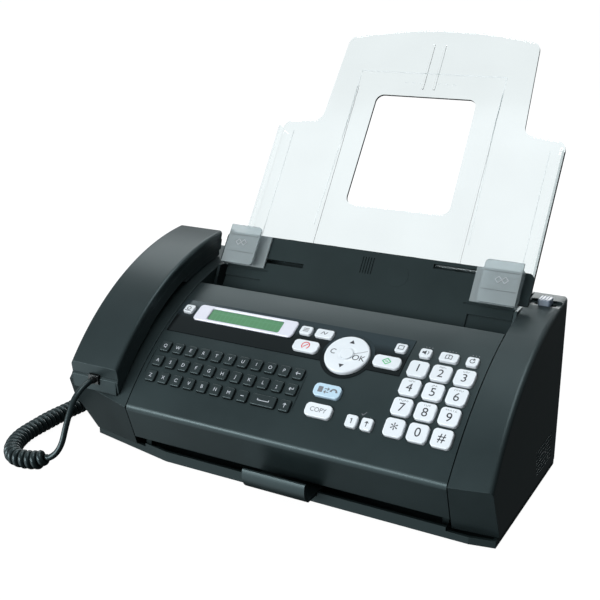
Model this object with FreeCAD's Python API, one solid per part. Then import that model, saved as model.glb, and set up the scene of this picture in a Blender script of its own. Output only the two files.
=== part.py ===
"""Desktop fax machine with a corded handset, as an assembly of separate pieces.

Frame: millimetres, +X to the right, +Y to the back, +Z up. The pieces are laid out from the
middle of the control panel's front edge, and export() moves them all so that the origin ends
under the middle of the machine's bounding box, cord left out, on the surface it stands on.
"""
import FreeCAD
import Part
import math
import os
from FreeCAD import Vector as V

os.makedirs("parts", exist_ok=True)

# ---------------------------------------------------------------- driving dimensions
PANEL_W = 225.2          # control panel, across
PANEL_FRONT_Z = 37.5     # crest of the panel's front edge
PANEL_REAR_Y = 91.7      # rear edge of the panel
PANEL_REAR_Z = 99.4
PANEL_BULGE = 7.9        # how far the panel's surface rises over its chord
PANEL_FOOT_Y = 8.6       # lower edge of the panel's front face
PANEL_FOOT_Z = 13.0
PANEL_T = 2.4            # panel wall
PANEL_SKIRT = 9.0        # depth of the panel's side walls under the chord
CREST_R = 4.5
SIDE_GAP = 0.6           # between the panel and the side covers
SHELL_T = 2.2            # wall of the covers and the base

RIGHT_W = 27.8           # right side cover, across
LEFT_W = 54.8            # left side cover, which carries the handset
TOP_REAR_Y = 152.0       # rear top edge of the body
TOP_REAR_Z = 110.0
REAR_FOOT_Y = 128.5      # rear wall at its foot
DECK_Z = 6.0             # parting line between the base and the covers
FLOOR_Z = 1.5            # underside of the base
FOOT_R = 6.0
FOOT_SINK = 0.6
LIP_Y = 6.5              # front of the base's lip
LIP_Z = 8.5
SWEEP = 0.2              # how fast the front corners sweep back, mm per mm
SWEEP_LEFT_X = -86.0
SWEEP_RIGHT_X = 125.0

PAPER_X = 2.5            # middle of the paper path
PAPER_W = 216.0          # between the guides when wide open
LEAN = 55.6              # lean of the support plate and the paper tray, degrees
PLATE_Y = 108.0          # support plate, where it crosses PLATE_Z
PLATE_Z = 95.0
PLATE_UP = 40.4          # top edge, along the plate from there
PLATE_DOWN = 10.0
PLATE_T = 2.0
TRAY_Y = 144.4           # paper tray, where it crosses TRAY_Z
TRAY_Z = 108.0
TRAY_T = 1.8
TRAY_DOWN = 26.0
TRAY_SHOULDER = 115.0
TRAY_TOP = 186.0
TRAY_CROWN = 8.5
TRAY_NECK_HALF = 78.0
TRAY_TOP_HALF = 75.0
TRAY_FLANGE = 9.0
WINDOW_LOW = 49.4
WINDOW_HIGH = 139.0
WINDOW_HALF_LOW = 40.3
WINDOW_HALF_HIGH = 39.2

GUIDE_DEPTH = 8.0        # how far the guides' flaps stand in front of the plate
GUIDE_FLAP = 24.0
GUIDE_LOW = 15.0
GUIDE_HIGH = 44.0
GUIDE_T = 1.5
GUIDE_TRAVEL = 31.0      # from letter width to A5

HANDSET_W = 39.0
HANDSET_SIDE = 7.8       # from the left cover's inner edge to the handset
HANDSET_LIFT = 60.0

KEY_GAP = 0.35
KEY_TRAVEL = 1.5
KEY_RISE = 2.1           # number and function keys above the panel
LETTER_RISE = 1.7
KEY_LIP = 0.9
KEY_STEM = 5.0

SHAFT_R = 3.0
RUN_CLEAR = 0.05         # radial clearance of a shaft in its bearing
FRAME_INSET = 5.1        # from the panel's side to the inner face of the bearing frames
FRAME_T = 2.5
GEAR_W = 5.0
MODULE = 1.0
PLATEN = (72.0, 34.0)
PLATEN_R = 9.0
PLATEN_TEETH = 40
PICK_TEETH = 31
PICK_R = 11.0
PICK_DIRECTION = 38.0    # degrees, from the platen
TAKEUP_TEETH = 26
TAKEUP_R = 10.5
TAKEUP_DIRECTION = 195.0
MOTOR_TEETH = 12
MOTOR_DIRECTION = 100.0
MOTOR_R = 17.5
SUPPLY = (110.0, 26.0)
SUPPLY_R = 14.0
BACKLASH = 0.24

CORD_D = 4.0
CURL_D = 12.5            # outside of the handset cord's coil
HINGE = (15.0, 17.5)     # pivot of the panel
HINGE_R = 2.0

# ---------------------------------------------------------------- derived from those
PANEL_HALF = PANEL_W / 2
WING_X = PANEL_HALF + SIDE_GAP
RIGHT_X = WING_X + RIGHT_W
LEFT_X = -WING_X - LEFT_W
HANDSET_X1 = -WING_X - HANDSET_SIDE
HANDSET_X0 = HANDSET_X1 - HANDSET_W
FRAME_X = PANEL_HALF - FRAME_INSET       # inner face of the moulded bearing frames
ROLL_X = FRAME_X - 1.5                   # ends of the film spools
GEAR_X = 0.2 - WING_X                    # inner face of the gear train
BRACKET_X = GEAR_X - GEAR_W - 1.6        # motor bracket's face to the gears
BRACKET_T = 2.0
MOTOR_X = BRACKET_X - BRACKET_T - 0.2
LUG_X = (PANEL_HALF - 7.2, PANEL_HALF - 3.0)
HOPPER_X = PANEL_HALF - 2.0              # half the paper slot's width
HANDSET_X = (HANDSET_X0 + HANDSET_X1) / 2


def circle_through(a, b, c):
    """Centre and radius of the circle through three (y, z) points."""
    d = 2 * (a[0] * (b[1] - c[1]) + b[0] * (c[1] - a[1]) + c[0] * (a[1] - b[1]))
    aa, bb, cc = (p[0] ** 2 + p[1] ** 2 for p in (a, b, c))
    y = (aa * (b[1] - c[1]) + bb * (c[1] - a[1]) + cc * (a[1] - b[1])) / d
    z = (aa * (c[0] - b[0]) + bb * (a[0] - c[0]) + cc * (b[0] - a[0])) / d
    return (y, z), math.hypot(a[0] - y, a[1] - z)


CHORD = math.hypot(PANEL_REAR_Y, PANEL_REAR_Z - PANEL_FRONT_Z)
ALONG = (PANEL_REAR_Y / CHORD, (PANEL_REAR_Z - PANEL_FRONT_Z) / CHORD)
UPRIGHT = (-ALONG[1], ALONG[0])


def on_chord(s, h):
    """(y, z) of a point s along the panel's chord and h above it."""
    return (ALONG[0] * s + UPRIGHT[0] * h, PANEL_FRONT_Z + ALONG[1] * s + UPRIGHT[1] * h)


CREST = (0.0, PANEL_FRONT_Z)
PANEL_REAR = (PANEL_REAR_Y, PANEL_REAR_Z)
CENTRE, RADIUS = circle_through(CREST, on_chord(CHORD / 2, PANEL_BULGE), PANEL_REAR)
START = math.atan2(CREST[1] - CENTRE[1], CREST[0] - CENTRE[0])
END = math.atan2(PANEL_REAR[1] - CENTRE[1], PANEL_REAR[0] - CENTRE[0])
PANEL_LENGTH = RADIUS * (START - END)


def surface(v, h=0.0):
    """(y, z) of a point v along the panel's curved surface from its crest, and h above it."""
    a = START - v / RADIUS
    return (CENTRE[0] + (RADIUS + h) * math.cos(a), CENTRE[1] + (RADIUS + h) * math.sin(a))


def wire_yz(path, x=0.0):
    """Closed wire in a YZ plane. A point is (y, z); an arc is ((y, z) on it, (y, z) at its end)."""
    edges = []
    at = V(x, *path[0])
    for step in path[1:] + [path[0]]:
        if isinstance(step[0], tuple):
            end = V(x, *step[1])
            edges.append(Part.Arc(at, V(x, *step[0]), end).toShape())
        else:
            end = V(x, *step)
            if end.distanceToPoint(at) > 1e-6:
                edges.append(Part.LineSegment(at, end).toShape())
        at = end
    return Part.Wire(edges)


def slab(path, x0, x1):
    """Prism of a YZ outline from x0 to x1."""
    return Part.Face(wire_yz(path, x0)).extrude(V(x1 - x0, 0, 0))


def prism(points, direction, base=V(0, 0, 0)):
    """Prism of a polygon of 3-D points."""
    ring = [V(*p) + base for p in points]
    return Part.Face(Part.makePolygon(ring + [ring[0]])).extrude(direction)


def box(x0, x1, y0, y1, z0, z1):
    return Part.makeBox(x1 - x0, y1 - y0, z1 - z0, V(x0, y0, z0))


def rod_x(r, x0, x1, at):
    """Cylinder along X with its axis at (y, z)."""
    return Part.makeCylinder(r, x1 - x0, V(x0, *at), V(1, 0, 0))


def round_rect(w, d, r, z0, z1, x=0.0, y=0.0):
    """Upright block with rounded corners, centred on x, y."""
    hx, hy = w / 2, d / 2
    k = r * (1 - math.sqrt(0.5))
    out = []
    for sx, sy in ((1, -1), (1, 1), (-1, 1), (-1, -1)):
        upright = V(x + sx * hx, y + sy * (hy - r), z0)
        level = V(x + sx * (hx - r), y + sy * hy, z0)
        middle = V(x + sx * (hx - k), y + sy * (hy - k), z0)
        start, end = (level, upright) if sx * sy < 0 else (upright, level)
        if out:
            out.append(Part.LineSegment(last, start).toShape())
        else:
            first = start
        out.append(Part.Arc(start, middle, end).toShape())
        last = end
    out.append(Part.LineSegment(last, first).toShape())
    return Part.Face(Part.Wire(out)).extrude(V(0, 0, z1 - z0))


def top_edges(shape, z):
    """Edges that lie in the plane at height z."""
    return [e for e in shape.Edges
            if abs(e.BoundBox.ZMin - z) < 1e-4 and abs(e.BoundBox.ZMax - z) < 1e-4]


def edges_at(shape, test):
    """Edges whose middle passes a test of its x, y, z."""
    found = []
    for e in shape.Edges:
        m = e.valueAt((e.FirstParameter + e.LastParameter) / 2)
        if test(m.x, m.y, m.z):
            found.append(e)
    return found


def seat(shape, x, v, h=0.0):
    """Sets a shape made on the XY plane onto the panel's surface at x, v."""
    a = START - v / RADIUS
    y, z = surface(v, h)
    s, c = math.sin(a), math.cos(a)
    m = FreeCAD.Matrix(1, 0, 0, x, 0, s, c, y, 0, -c, s, z, 0, 0, 0, 1)
    return place(shape, m)


def place(shape, m):
    """A copy of the shape moved by a rigid matrix."""
    out = shape.copy()
    out.Placement = FreeCAD.Placement(m).multiply(shape.Placement)
    return out


def lean_frame(y, z):
    """Matrix of a plane that leans back: X across, Y up along the lean, Z to the front."""
    c, s = math.cos(math.radians(LEAN)), math.sin(math.radians(LEAN))
    return FreeCAD.Matrix(1, 0, 0, PAPER_X, 0, c, -s, y, 0, s, c, z, 0, 0, 0, 1)


def fuse(*shapes):
    out = shapes[0]
    for s in shapes[1:]:
        out = out.fuse(s)
    return out.removeSplitter()


def polar(centre, distance, degrees):
    a = math.radians(degrees)
    return (centre[0] + distance * math.cos(a), centre[1] + distance * math.sin(a))


# ---------------------------------------------------------------- gears
def involute(teeth, backlash):
    """(radius, half angle of the tooth) pairs from root to tip of a 20 degree involute tooth."""
    r = MODULE * teeth / 2
    base = r * math.cos(math.radians(20))
    half = math.pi / 2 / teeth - backlash / 2 / r
    pitch_inv = math.tan(math.radians(20)) - math.radians(20)
    low = r - 1.25 * MODULE
    high = r + 0.95 * MODULE
    steps = []
    for i in range(5):
        radius = max(low, base + 0.001) + (high - max(low, base + 0.001)) * i / 4
        angle = math.acos(min(1.0, base / radius))
        steps.append((radius, half + pitch_inv - (math.tan(angle) - angle)))
    return [(low, steps[0][1])] + steps


def gear(teeth, phase, at, x0, width, bore, backlash=BACKLASH):
    """Spur gear about X. phase is the angle of one tooth's middle, in radians."""
    points = []
    for i in range(teeth):
        middle = phase + 2 * math.pi * i / teeth
        flank = involute(teeth, backlash)
        for radius, half in flank:
            points.append((radius, middle - half))
        for radius, half in reversed(flank):
            points.append((radius, middle + half))
    ring = [V(x0, at[0] + r * math.cos(a), at[1] + r * math.sin(a)) for r, a in points]
    body = Part.Face(Part.makePolygon(ring + [ring[0]])).extrude(V(width, 0, 0))
    if bore:
        body = body.cut(rod_x(bore, x0 - 1, x0 + width + 1, at))
    return body


def meshing_phase(teeth_a, phase_a, teeth_b, direction):
    """Phase of gear b so that it meshes with gear a, which sees it at that angle in radians."""
    share_a = ((direction - phase_a) * teeth_a / (2 * math.pi)) % 1
    share_b = (0.5 - share_a) % 1
    return direction + math.pi - share_b * 2 * math.pi / teeth_b


# ---------------------------------------------------------------- control panel
FRONT_RUN = math.hypot(PANEL_FOOT_Y, PANEL_FRONT_Z - PANEL_FOOT_Z)
DOWN = (PANEL_FOOT_Y / FRONT_RUN, (PANEL_FOOT_Z - PANEL_FRONT_Z) / FRONT_RUN)
INWARD = (-DOWN[1], DOWN[0])


def on_front(a, depth=0.0):
    """(y, z) on the front face, a down from the crest and depth behind the face."""
    return (DOWN[0] * a + INWARD[0] * depth, PANEL_FRONT_Z + DOWN[1] * a + INWARD[1] * depth)


def inner_crest(wall):
    """How far down the front face its inner side meets the inner side of the curved surface."""
    y, z = on_front(0, wall)
    py, pz = y - CENTRE[0], z - CENTRE[1]
    half = py * DOWN[0] + pz * DOWN[1]
    return -half - math.sqrt(half ** 2 - (py ** 2 + pz ** 2 - (RADIUS - wall) ** 2))


def key_spots():
    """Every key of the panel: name, x, v, width, depth, corner radius."""
    spots = []
    for row, (v, columns) in enumerate(((48.0, 11), (36.5, 11), (25.0, 8))):
        for i in range(columns):
            spots.append((LETTER_ROWS[row], LETTER_X0 + LETTER_PITCH * i, v, 7.2, 7.6, 1.2))
    spots.append((LETTER_ROWS[2], LETTER_X0 + LETTER_PITCH * 8.5, 25.0, 17.4, 7.6, 1.2))
    spots.append((LETTER_ROWS[2], LETTER_X0 + LETTER_PITCH * 10, 25.0, 7.2, 7.6, 1.2))
    for i, name in enumerate(NUMBER_KEYS):
        spots.append((name, 72.5 + 14.9 * (i % 3), 68.6 - 14.0 * (i // 3), 12.5, 11.8, 2.6))
    for x, w in ((-103.0, 7.5), (-10.9, 8.5), (2.5, 12.5), (56.2, 7.5)):
        spots.append(("function_keys", x, 82.0, w, 7.0, 1.6))
    for x, w in ((72.6, 7.5), (87.8, 12.0), (102.7, 7.5)):
        spots.append(("phone_keys", x, 81.6, w, 7.0, 1.6))
    for x in (45.4, 55.4):
        spots.append(("shift_keys", x, 24.8, 7.5, 8.0, 1.6))
    spots.append(("stop_key", -5.2, 69.3, 18.0, 9.0, 3.0))
    spots.append(("start_key", 51.6, 69.3, 18.0, 9.0, 3.0))
    spots.append(("mode_key", 22.9, 40.5, 18.5, 9.0, 3.2))
    spots.append(("copy_key", 22.3, 26.6, 18.0, 9.0, 3.0))
    return spots


LETTER_ROWS = ("letter_keys_top", "letter_keys_middle", "letter_keys_bottom")
LETTER_X0 = -103.0
LETTER_PITCH = 10.23
NUMBER_KEYS = ("key_1", "key_2", "key_3", "key_4", "key_5", "key_6",
               "key_7", "key_8", "key_9", "key_star", "key_0", "key_hash")
DIAL = (24.3, 69.0)
DIAL_R = 14.8
BOARD_DEPTH = 11.0
TRIM = (-110.5, 62.5, 61.5, 91.5)     # x from, x to, v from, v to
TRIM_SINK = 0.6
BEZEL = (-57.4, 81.0, 77.7, 14.6)     # x, v, width, depth
LCD = (-57.4, 81.0, 55.5, 9.6)


def opening(x, v, w, d, r):
    """Tool that cuts a key's hole through the panel and everything on it."""
    return seat(round_rect(w + 2 * KEY_GAP, d + 2 * KEY_GAP, r + KEY_GAP, -PANEL_T - 2, 3), x, v)


def panel_openings():
    cuts = [opening(*spot[1:]) for spot in key_spots()]
    dial = Part.makeCylinder(DIAL_R + KEY_GAP, PANEL_T + 5, V(0, 0, -PANEL_T - 2))
    cuts.append(seat(dial, *DIAL))
    cuts.append(opening(*LCD, 1.0))
    return cuts


def curved_sheet(x0, x1, v0, v1, h0, h1):
    """Sheet parallel to the panel's surface."""
    middle = (v0 + v1) / 2
    path = [surface(v0, h0), surface(v0, h1), (surface(middle, h1), surface(v1, h1)),
            surface(v1, h0), (surface(middle, h0), surface(v0, h0))]
    return slab(path, x0, x1)


def trim_sheet(h0, h1, slack=0.0):
    """The glossy strip with its round notch about the dial."""
    x0, x1, v0, v1 = TRIM
    sheet = curved_sheet(x0 - slack, x1 + slack, v0 - slack, v1 + slack, h0, h1)
    notch = Part.makeCylinder(DIAL_R + 3.0 - slack, 20, V(0, 0, -10))
    return sheet.cut(seat(notch, *DIAL))


def make_panel_shell():
    low = on_chord(18, -PANEL_SKIRT)
    outline = [(PANEL_FOOT_Y, PANEL_FOOT_Z), CREST, (surface(PANEL_LENGTH / 2), PANEL_REAR),
               on_chord(CHORD, -PANEL_SKIRT), low, (21.0, 24.0), (21.0, PANEL_FOOT_Z)]
    body = slab(outline, -PANEL_HALF, PANEL_HALF)
    crest = edges_at(body, lambda x, y, z: abs(y) < 1e-3 and abs(z - PANEL_FRONT_Z) < 1e-3)
    body = body.makeFillet(CREST_R, crest)
    wall = PANEL_T
    back = surface(PANEL_LENGTH - wall, -wall)
    inside = [on_front(FRONT_RUN + 20, wall), on_front(inner_crest(wall), wall),
              (surface(PANEL_LENGTH / 2, -wall), back), on_chord(CHORD - wall, -30), (60, -20)]
    body = body.cut(slab(inside, -PANEL_HALF + wall, PANEL_HALF - wall))
    body = body.cut(trim_sheet(-TRIM_SINK, 2, 0.15))
    groove = round_rect(115, 38.5, 2.5, -0.5, 1).cut(round_rect(113.4, 36.9, 1.8, -1, 2))
    body = body.cut(seat(groove, -52.4, 36.6))
    body = body.cut(Part.makeCompound(panel_openings()))
    for v, places in ((17.0, (-104.5, -20.0, 35.0, 64.0)), (57.0, (-104.5, -20.0, 41.0, 62.0))):
        for x in places:
            boss = Part.makeCylinder(2.2, BOARD_DEPTH - wall + 0.8, V(0, 0, -BOARD_DEPTH))
            body = body.fuse(seat(boss, x, v))
    for side in (-1, 1):
        x0, x1 = sorted((side * (PANEL_HALF - wall - 0.1), side * (PANEL_HALF - 7.9)))
        body = body.fuse(rod_x(HINGE_R, x0, x1, HINGE))
    return body.removeSplitter()


def make_panel_trim():
    body = trim_sheet(-TRIM_SINK, 0.35)
    return body.cut(Part.makeCompound(panel_openings()))


def make_display_bezel():
    x, v, w, d = BEZEL
    ring = round_rect(w, d, 3.0, 0.45, 1.6).cut(round_rect(LCD[2] + 0.7, LCD[3] + 0.7, 1.2, 0, 3))
    ring = ring.makeChamfer(0.5, top_edges(ring, 1.6))
    return seat(ring, x, v)


def make_lcd():
    x, v, w, d = LCD
    glass = round_rect(w, d, 1.0, -2.4, 0.9)
    frame = round_rect(w + 6, d + 3, 1.0, -5.4, -2.75)
    return seat(glass.fuse(frame.fuse(round_rect(w, d, 1.0, -3, -2.3))), x, v)


def make_keypad_board():
    body = curved_sheet(4.6 - PANEL_HALF, PANEL_HALF - 4.6, 12, 92, -BOARD_DEPTH - 1.4, -BOARD_DEPTH)
    chip = seat(round_rect(14, 14, 0.5, -BOARD_DEPTH - 3.6, -BOARD_DEPTH - 1.3), -60, 45)
    plug = seat(round_rect(24, 6, 0.5, -BOARD_DEPTH - 6.5, -BOARD_DEPTH - 1.3), 40, 50)
    return fuse(body, chip, plug)


def key_cap(w, d, r, rise, lip=KEY_LIP):
    """One key on the XY plane: domed cap, retaining lip under the panel, and stem."""
    top = round_rect(w, d, r, -PANEL_T - 1.3, rise)
    top = top.makeFillet(min(0.7, r * 0.5), top_edges(top, rise))
    flange = round_rect(w + 2 * lip, d - 0.2, r, -PANEL_T - 1.5, -PANEL_T - 0.35)
    stem = round_rect(min(KEY_STEM, w - 2), min(KEY_STEM, d - 2), 1.0,
                      -BOARD_DEPTH + KEY_TRAVEL + 0.5, -PANEL_T - 1.2)
    return top.fuse(flange).fuse(stem)


def make_keys(name):
    """All the caps of one named group, joined by the strip they are moulded on."""
    spots = [s for s in key_spots() if s[0] == name]
    v = spots[0][2]
    rise = LETTER_RISE if name in LETTER_ROWS else KEY_RISE
    body = None
    for _, x, _, w, d, r in spots:
        cap = key_cap(w, d, r, rise).translate(V(x, 0, 0))
        body = cap if body is None else body.fuse(cap)
    if len(spots) > 1:
        low, high = spots[0][1], spots[-1][1]
        deep = -BOARD_DEPTH + KEY_TRAVEL + 0.5 if name == "function_keys" else -PANEL_T - 1.5
        body = body.fuse(box(low, high, -2.0, 2.0, deep, deep + 1.1))
    return seat(body.removeSplitter(), 0, v)


def make_nav_dial():
    ring = Part.makeCylinder(DIAL_R, PANEL_T + 2.0 + KEY_RISE, V(0, 0, -PANEL_T - 2.0))
    ring = ring.makeFillet(1.2, top_edges(ring, KEY_RISE))
    ring = ring.cut(Part.makeSphere(30, V(0, 0, KEY_RISE + 29.3)))
    hub = Part.makeCylinder(4.2, 1.2, V(0, 0, KEY_RISE - 0.9))
    flange = Part.makeCylinder(DIAL_R + 1.1, 1.15, V(0, 0, -PANEL_T - 2.3))
    stem = Part.makeCylinder(4, BOARD_DEPTH - 6, V(0, 0, -BOARD_DEPTH + KEY_TRAVEL + 0.5))
    return seat(fuse(ring, hub, flange, stem), *DIAL)


# ---------------------------------------------------------------- covers, base and rear
COVER_LOW = DECK_Z + 0.3
REAR_TOP = (TOP_REAR_Y, TOP_REAR_Z)


def rear_wall(z, depth=0.0):
    """(y, z) on the leaning rear wall at that height, depth inside its outer face."""
    share = (z - DECK_Z) / (TOP_REAR_Z - DECK_Z)
    return (REAR_FOOT_Y + (TOP_REAR_Y - REAR_FOOT_Y) * share - depth, z)


def cover_outline():
    """The side covers' outline: front face, the panel's curve, and on to the rear top edge."""
    front = on_front((PANEL_FRONT_Z - COVER_LOW) / -DOWN[1])
    return [front, CREST, (surface(PANEL_LENGTH / 2), PANEL_REAR),
            ((121.5, 106.7 + TOP_REAR_Z - 110.0), REAR_TOP), rear_wall(COVER_LOW)]


def beyond(point, normal):
    """A block that fills the far side of a plane."""
    block = Part.makeBox(1200, 1200, 600, V(-600, -600, 0))
    turn = FreeCAD.Rotation(V(0, 0, 1), V(*normal))
    block.Placement = FreeCAD.Placement(V(*point), turn)
    return block


def trimmed(shape, planes, depth=0.0):
    """Cuts a shape back to a set of planes, each moved inwards by depth."""
    for point, normal in planes:
        n = V(*normal).normalize()
        shape = shape.cut(beyond(V(*point) - n * depth, normal))
    return shape


def cover(x_in, x_out, planes, inner_wall):
    """Hollow side cover, open below."""
    x0, x1 = sorted((x_in, x_out))
    body = trimmed(slab(cover_outline(), x0, x1), planes)
    corner = edges_at(body, lambda x, y, z: abs(x - x_out) < 9 and z > 30 and y < TOP_REAR_Y - 1)
    body = body.makeFillet(3.0, [e for e in corner if e.Length > 30])
    inside = Part.Face(wire_yz(cover_outline(), x0)).makeOffset2D(-SHELL_T, 2)
    hollow = inside.extrude(V(x1 - x0, 0, 0))
    hollow = trimmed(hollow, planes, SHELL_T)
    if inner_wall:
        side = -1 if x_out > x_in else 1
        hollow = hollow.cut(beyond((x_in - side * SHELL_T, 0, 0), (side, 0, 0)))
    lower = box(x0 - 1, x1 + 1, 12, REAR_FOOT_Y - 3, COVER_LOW - 1, COVER_LOW + 6)
    hollow = hollow.fuse(trimmed(lower, planes, SHELL_T).common(body))
    return body.cut(hollow)


RIGHT_PLANES = [((RIGHT_X, 0, 6), (1, 0, 0.055)), ((WING_X, 0, PANEL_FRONT_Z), (0.1, -1, -0.35))]
LEFT_PLANES = [((LEFT_X, 0, 31), (-1, 0, 0.05)), ((LEFT_X, 0, 31), (-1, 0, -0.58)),
               ((-WING_X, 0, PANEL_FRONT_Z), (-SWEEP, -1, -0.35))]
SLIDER = (WING_X + 11.3, 136.0)
CUPS = ((24.0, 34.0), (108.0, 36.0))      # middle along Y and length, of the mouth and the ear end
HOOK = (HANDSET_X + 8.0, 62.0)
BASE_JACK = (106.0, 13.0)


def cup_seat(shape, index):
    """Sets a shape at one end of the handset, square to the cover there."""
    y = CUPS[index][0]
    v = RADIUS * (START - math.acos((y - CENTRE[0]) / RADIUS))
    return seat(shape, HANDSET_X, v)


def make_left_wing():
    body = cover(-WING_X, LEFT_X, LEFT_PLANES, True)
    gears = box(-WING_X - 4, -WING_X + 1, 20, 122, COVER_LOW - 1, 56)
    gears = gears.fuse(rod_x(24, -WING_X - 4, -WING_X + 1, PLATEN))
    gears = gears.fuse(rod_x(19, -WING_X - 4, -WING_X + 1, pick_at()))
    body = body.cut(gears.fuse(rod_x(9, -WING_X - 4, -WING_X + 1, motor_at())))
    width = HANDSET_X1 - HANDSET_X0 - 5
    for index, (_, length) in enumerate(CUPS):
        shell = cup_seat(round_rect(width + 3.6, length + 3.6, 6, -6.0, -1.5), index)
        well = cup_seat(round_rect(width, length, 5, -4.2, 20), index)
        body = body.fuse(shell).cut(well)
    body = body.cut(round_rect(8.6, 6.6, 1.3, 60, 120, *HOOK))
    y, z = BASE_JACK
    return body.cut(box(LEFT_X, LEFT_X + 22, y - 6, y + 6, z - 4.5, z + 4.5))


def make_right_wing():
    body = cover(WING_X, RIGHT_X, RIGHT_PLANES, True)
    x, y = SLIDER
    body = body.cut(round_rect(20.0, 10.4, 1.5, top_of_cover(y) - 1.2, 130, x, y))
    body = body.cut(round_rect(14.4, 3.6, 1.0, 90, 130, x, y))
    for i in range(7):
        z = 12 + 2.6 * i
        body = body.cut(box(RIGHT_X - 8, RIGHT_X + 3, 84, 118, z, z + 1.1))
    x, z, w, h = REAR_SOCKETS
    return body.cut(box(x - w / 2, x + w / 2, 122, 150, z - h / 2, z + h / 2))


def top_of_cover(y):
    """Height of the covers' top behind the panel."""
    middle, radius = circle_through(PANEL_REAR, (121.5, 106.7 + TOP_REAR_Z - 110.0), REAR_TOP)
    return middle[1] + math.sqrt(radius ** 2 - (y - middle[0]) ** 2)


def make_mode_slider():
    x, y = SLIDER
    z = top_of_cover(y) - 1.2
    knob = round_rect(8.0, 9.4, 1.2, z + 0.35, z + 4.6, x, y)
    knob = knob.makeFillet(0.8, top_edges(knob, z + 4.6))
    for i in range(3):
        knob = knob.cut(box(x - 2.4 + 2 * i, x - 1.6 + 2 * i, y - 6, y + 6, z + 4.2, z + 6))
    neck = box(x - 1.8, x + 1.8, y - 1.4, y + 1.4, z - 4.5, z + 1)
    foot = box(x - 3.6, x + 3.6, y - 4, y + 4, z - 6.0, z - 4.4)
    return fuse(knob, neck, foot)


def pick_at():
    return polar(PLATEN, MODULE * (PLATEN_TEETH + PICK_TEETH) / 2, PICK_DIRECTION)


def takeup_at():
    return polar(PLATEN, MODULE * (PLATEN_TEETH + TAKEUP_TEETH) / 2, TAKEUP_DIRECTION)


def motor_at():
    return polar(PLATEN, MODULE * (PLATEN_TEETH + MOTOR_TEETH) / 2, MOTOR_DIRECTION)


def base_plan(inset, z0, z1):
    """Block with the base's outline, drawn in by inset."""
    left, right = LEFT_X + 14.5 + inset, RIGHT_X - 0.8 - inset
    front, back = LIP_Y + inset, REAR_FOOT_Y - 0.4 - inset
    points = [(left, front - SWEEP * (left - SWEEP_LEFT_X), z0), (SWEEP_LEFT_X, front, z0),
              (SWEEP_RIGHT_X, front, z0), (right, front + SWEEP * (right - SWEEP_RIGHT_X), z0),
              (right, back, z0), (left, back, z0)]
    return prism(points, V(0, 0, z1 - z0))


TONGUE = (-17.0, 27.0, 6.4, 8.0)           # exit tray, x from and to, z from and to
FEET = [(LEFT_X + 28.0, 32.0), (LEFT_X + 28.0, REAR_FOOT_Y - 13.5),
        (RIGHT_X - 16.0, 24.0), (RIGHT_X - 16.0, REAR_FOOT_Y - 13.5)]
POSTS = [(LEFT_X + 28.0, 32.0), (LEFT_X + 40.0, REAR_FOOT_Y - 8.5),
         (RIGHT_X - 16.0, 24.0), (RIGHT_X - 16.0, 84.0)]


def side_frame(side):
    """Upright plate in the base that carries the rollers' right or left ends."""
    x0, x1 = sorted((side * FRAME_X, side * (FRAME_X + FRAME_T)))
    outline = [(23, 3), (23, 30), (32, 40), (46, 50), (64, 60), (86, 70), (110, 72), (122, 46),
               (124, 3)]
    plate = slab(outline, x0, x1)
    for at in (PLATEN, pick_at(), takeup_at(), SUPPLY):
        ring = rod_x(SHAFT_R + 3, *sorted((side * (FRAME_X - 0.8), side * (FRAME_X + FRAME_T))), at)
        plate = plate.fuse(ring)
    for at in (PLATEN, pick_at(), takeup_at(), SUPPLY):
        plate = plate.cut(rod_x(SHAFT_R + RUN_CLEAR, x0 - 3, x1 + 3, at))
    lug0, lug1 = sorted((side * LUG_X[0], side * LUG_X[1]))
    lug = rod_x(HINGE_R + 2.5, lug0, lug1, HINGE)
    lug = lug.fuse(box(lug0, lug1, HINGE[0] + 1.5, 26, 3, HINGE[1]))
    lug = lug.cut(rod_x(HINGE_R + RUN_CLEAR, lug0 - 2, lug1 + 2, HINGE))
    return plate.fuse(lug)


def motor_bracket():
    y, z = motor_at()
    plate = slab([(y - 16, 3), (y - 16, z + 6), (y - 8, z + 15), (y + 8, z + 15),
                  (y + 16, z + 6), (y + 16, 3)], BRACKET_X - BRACKET_T, BRACKET_X)
    plate = plate.cut(rod_x(4.5, BRACKET_X - 4, BRACKET_X + 1, (y, z)))
    return plate.cut(rod_x(SHAFT_R + 6, BRACKET_X - 4, BRACKET_X + 1, PLATEN))


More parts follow.
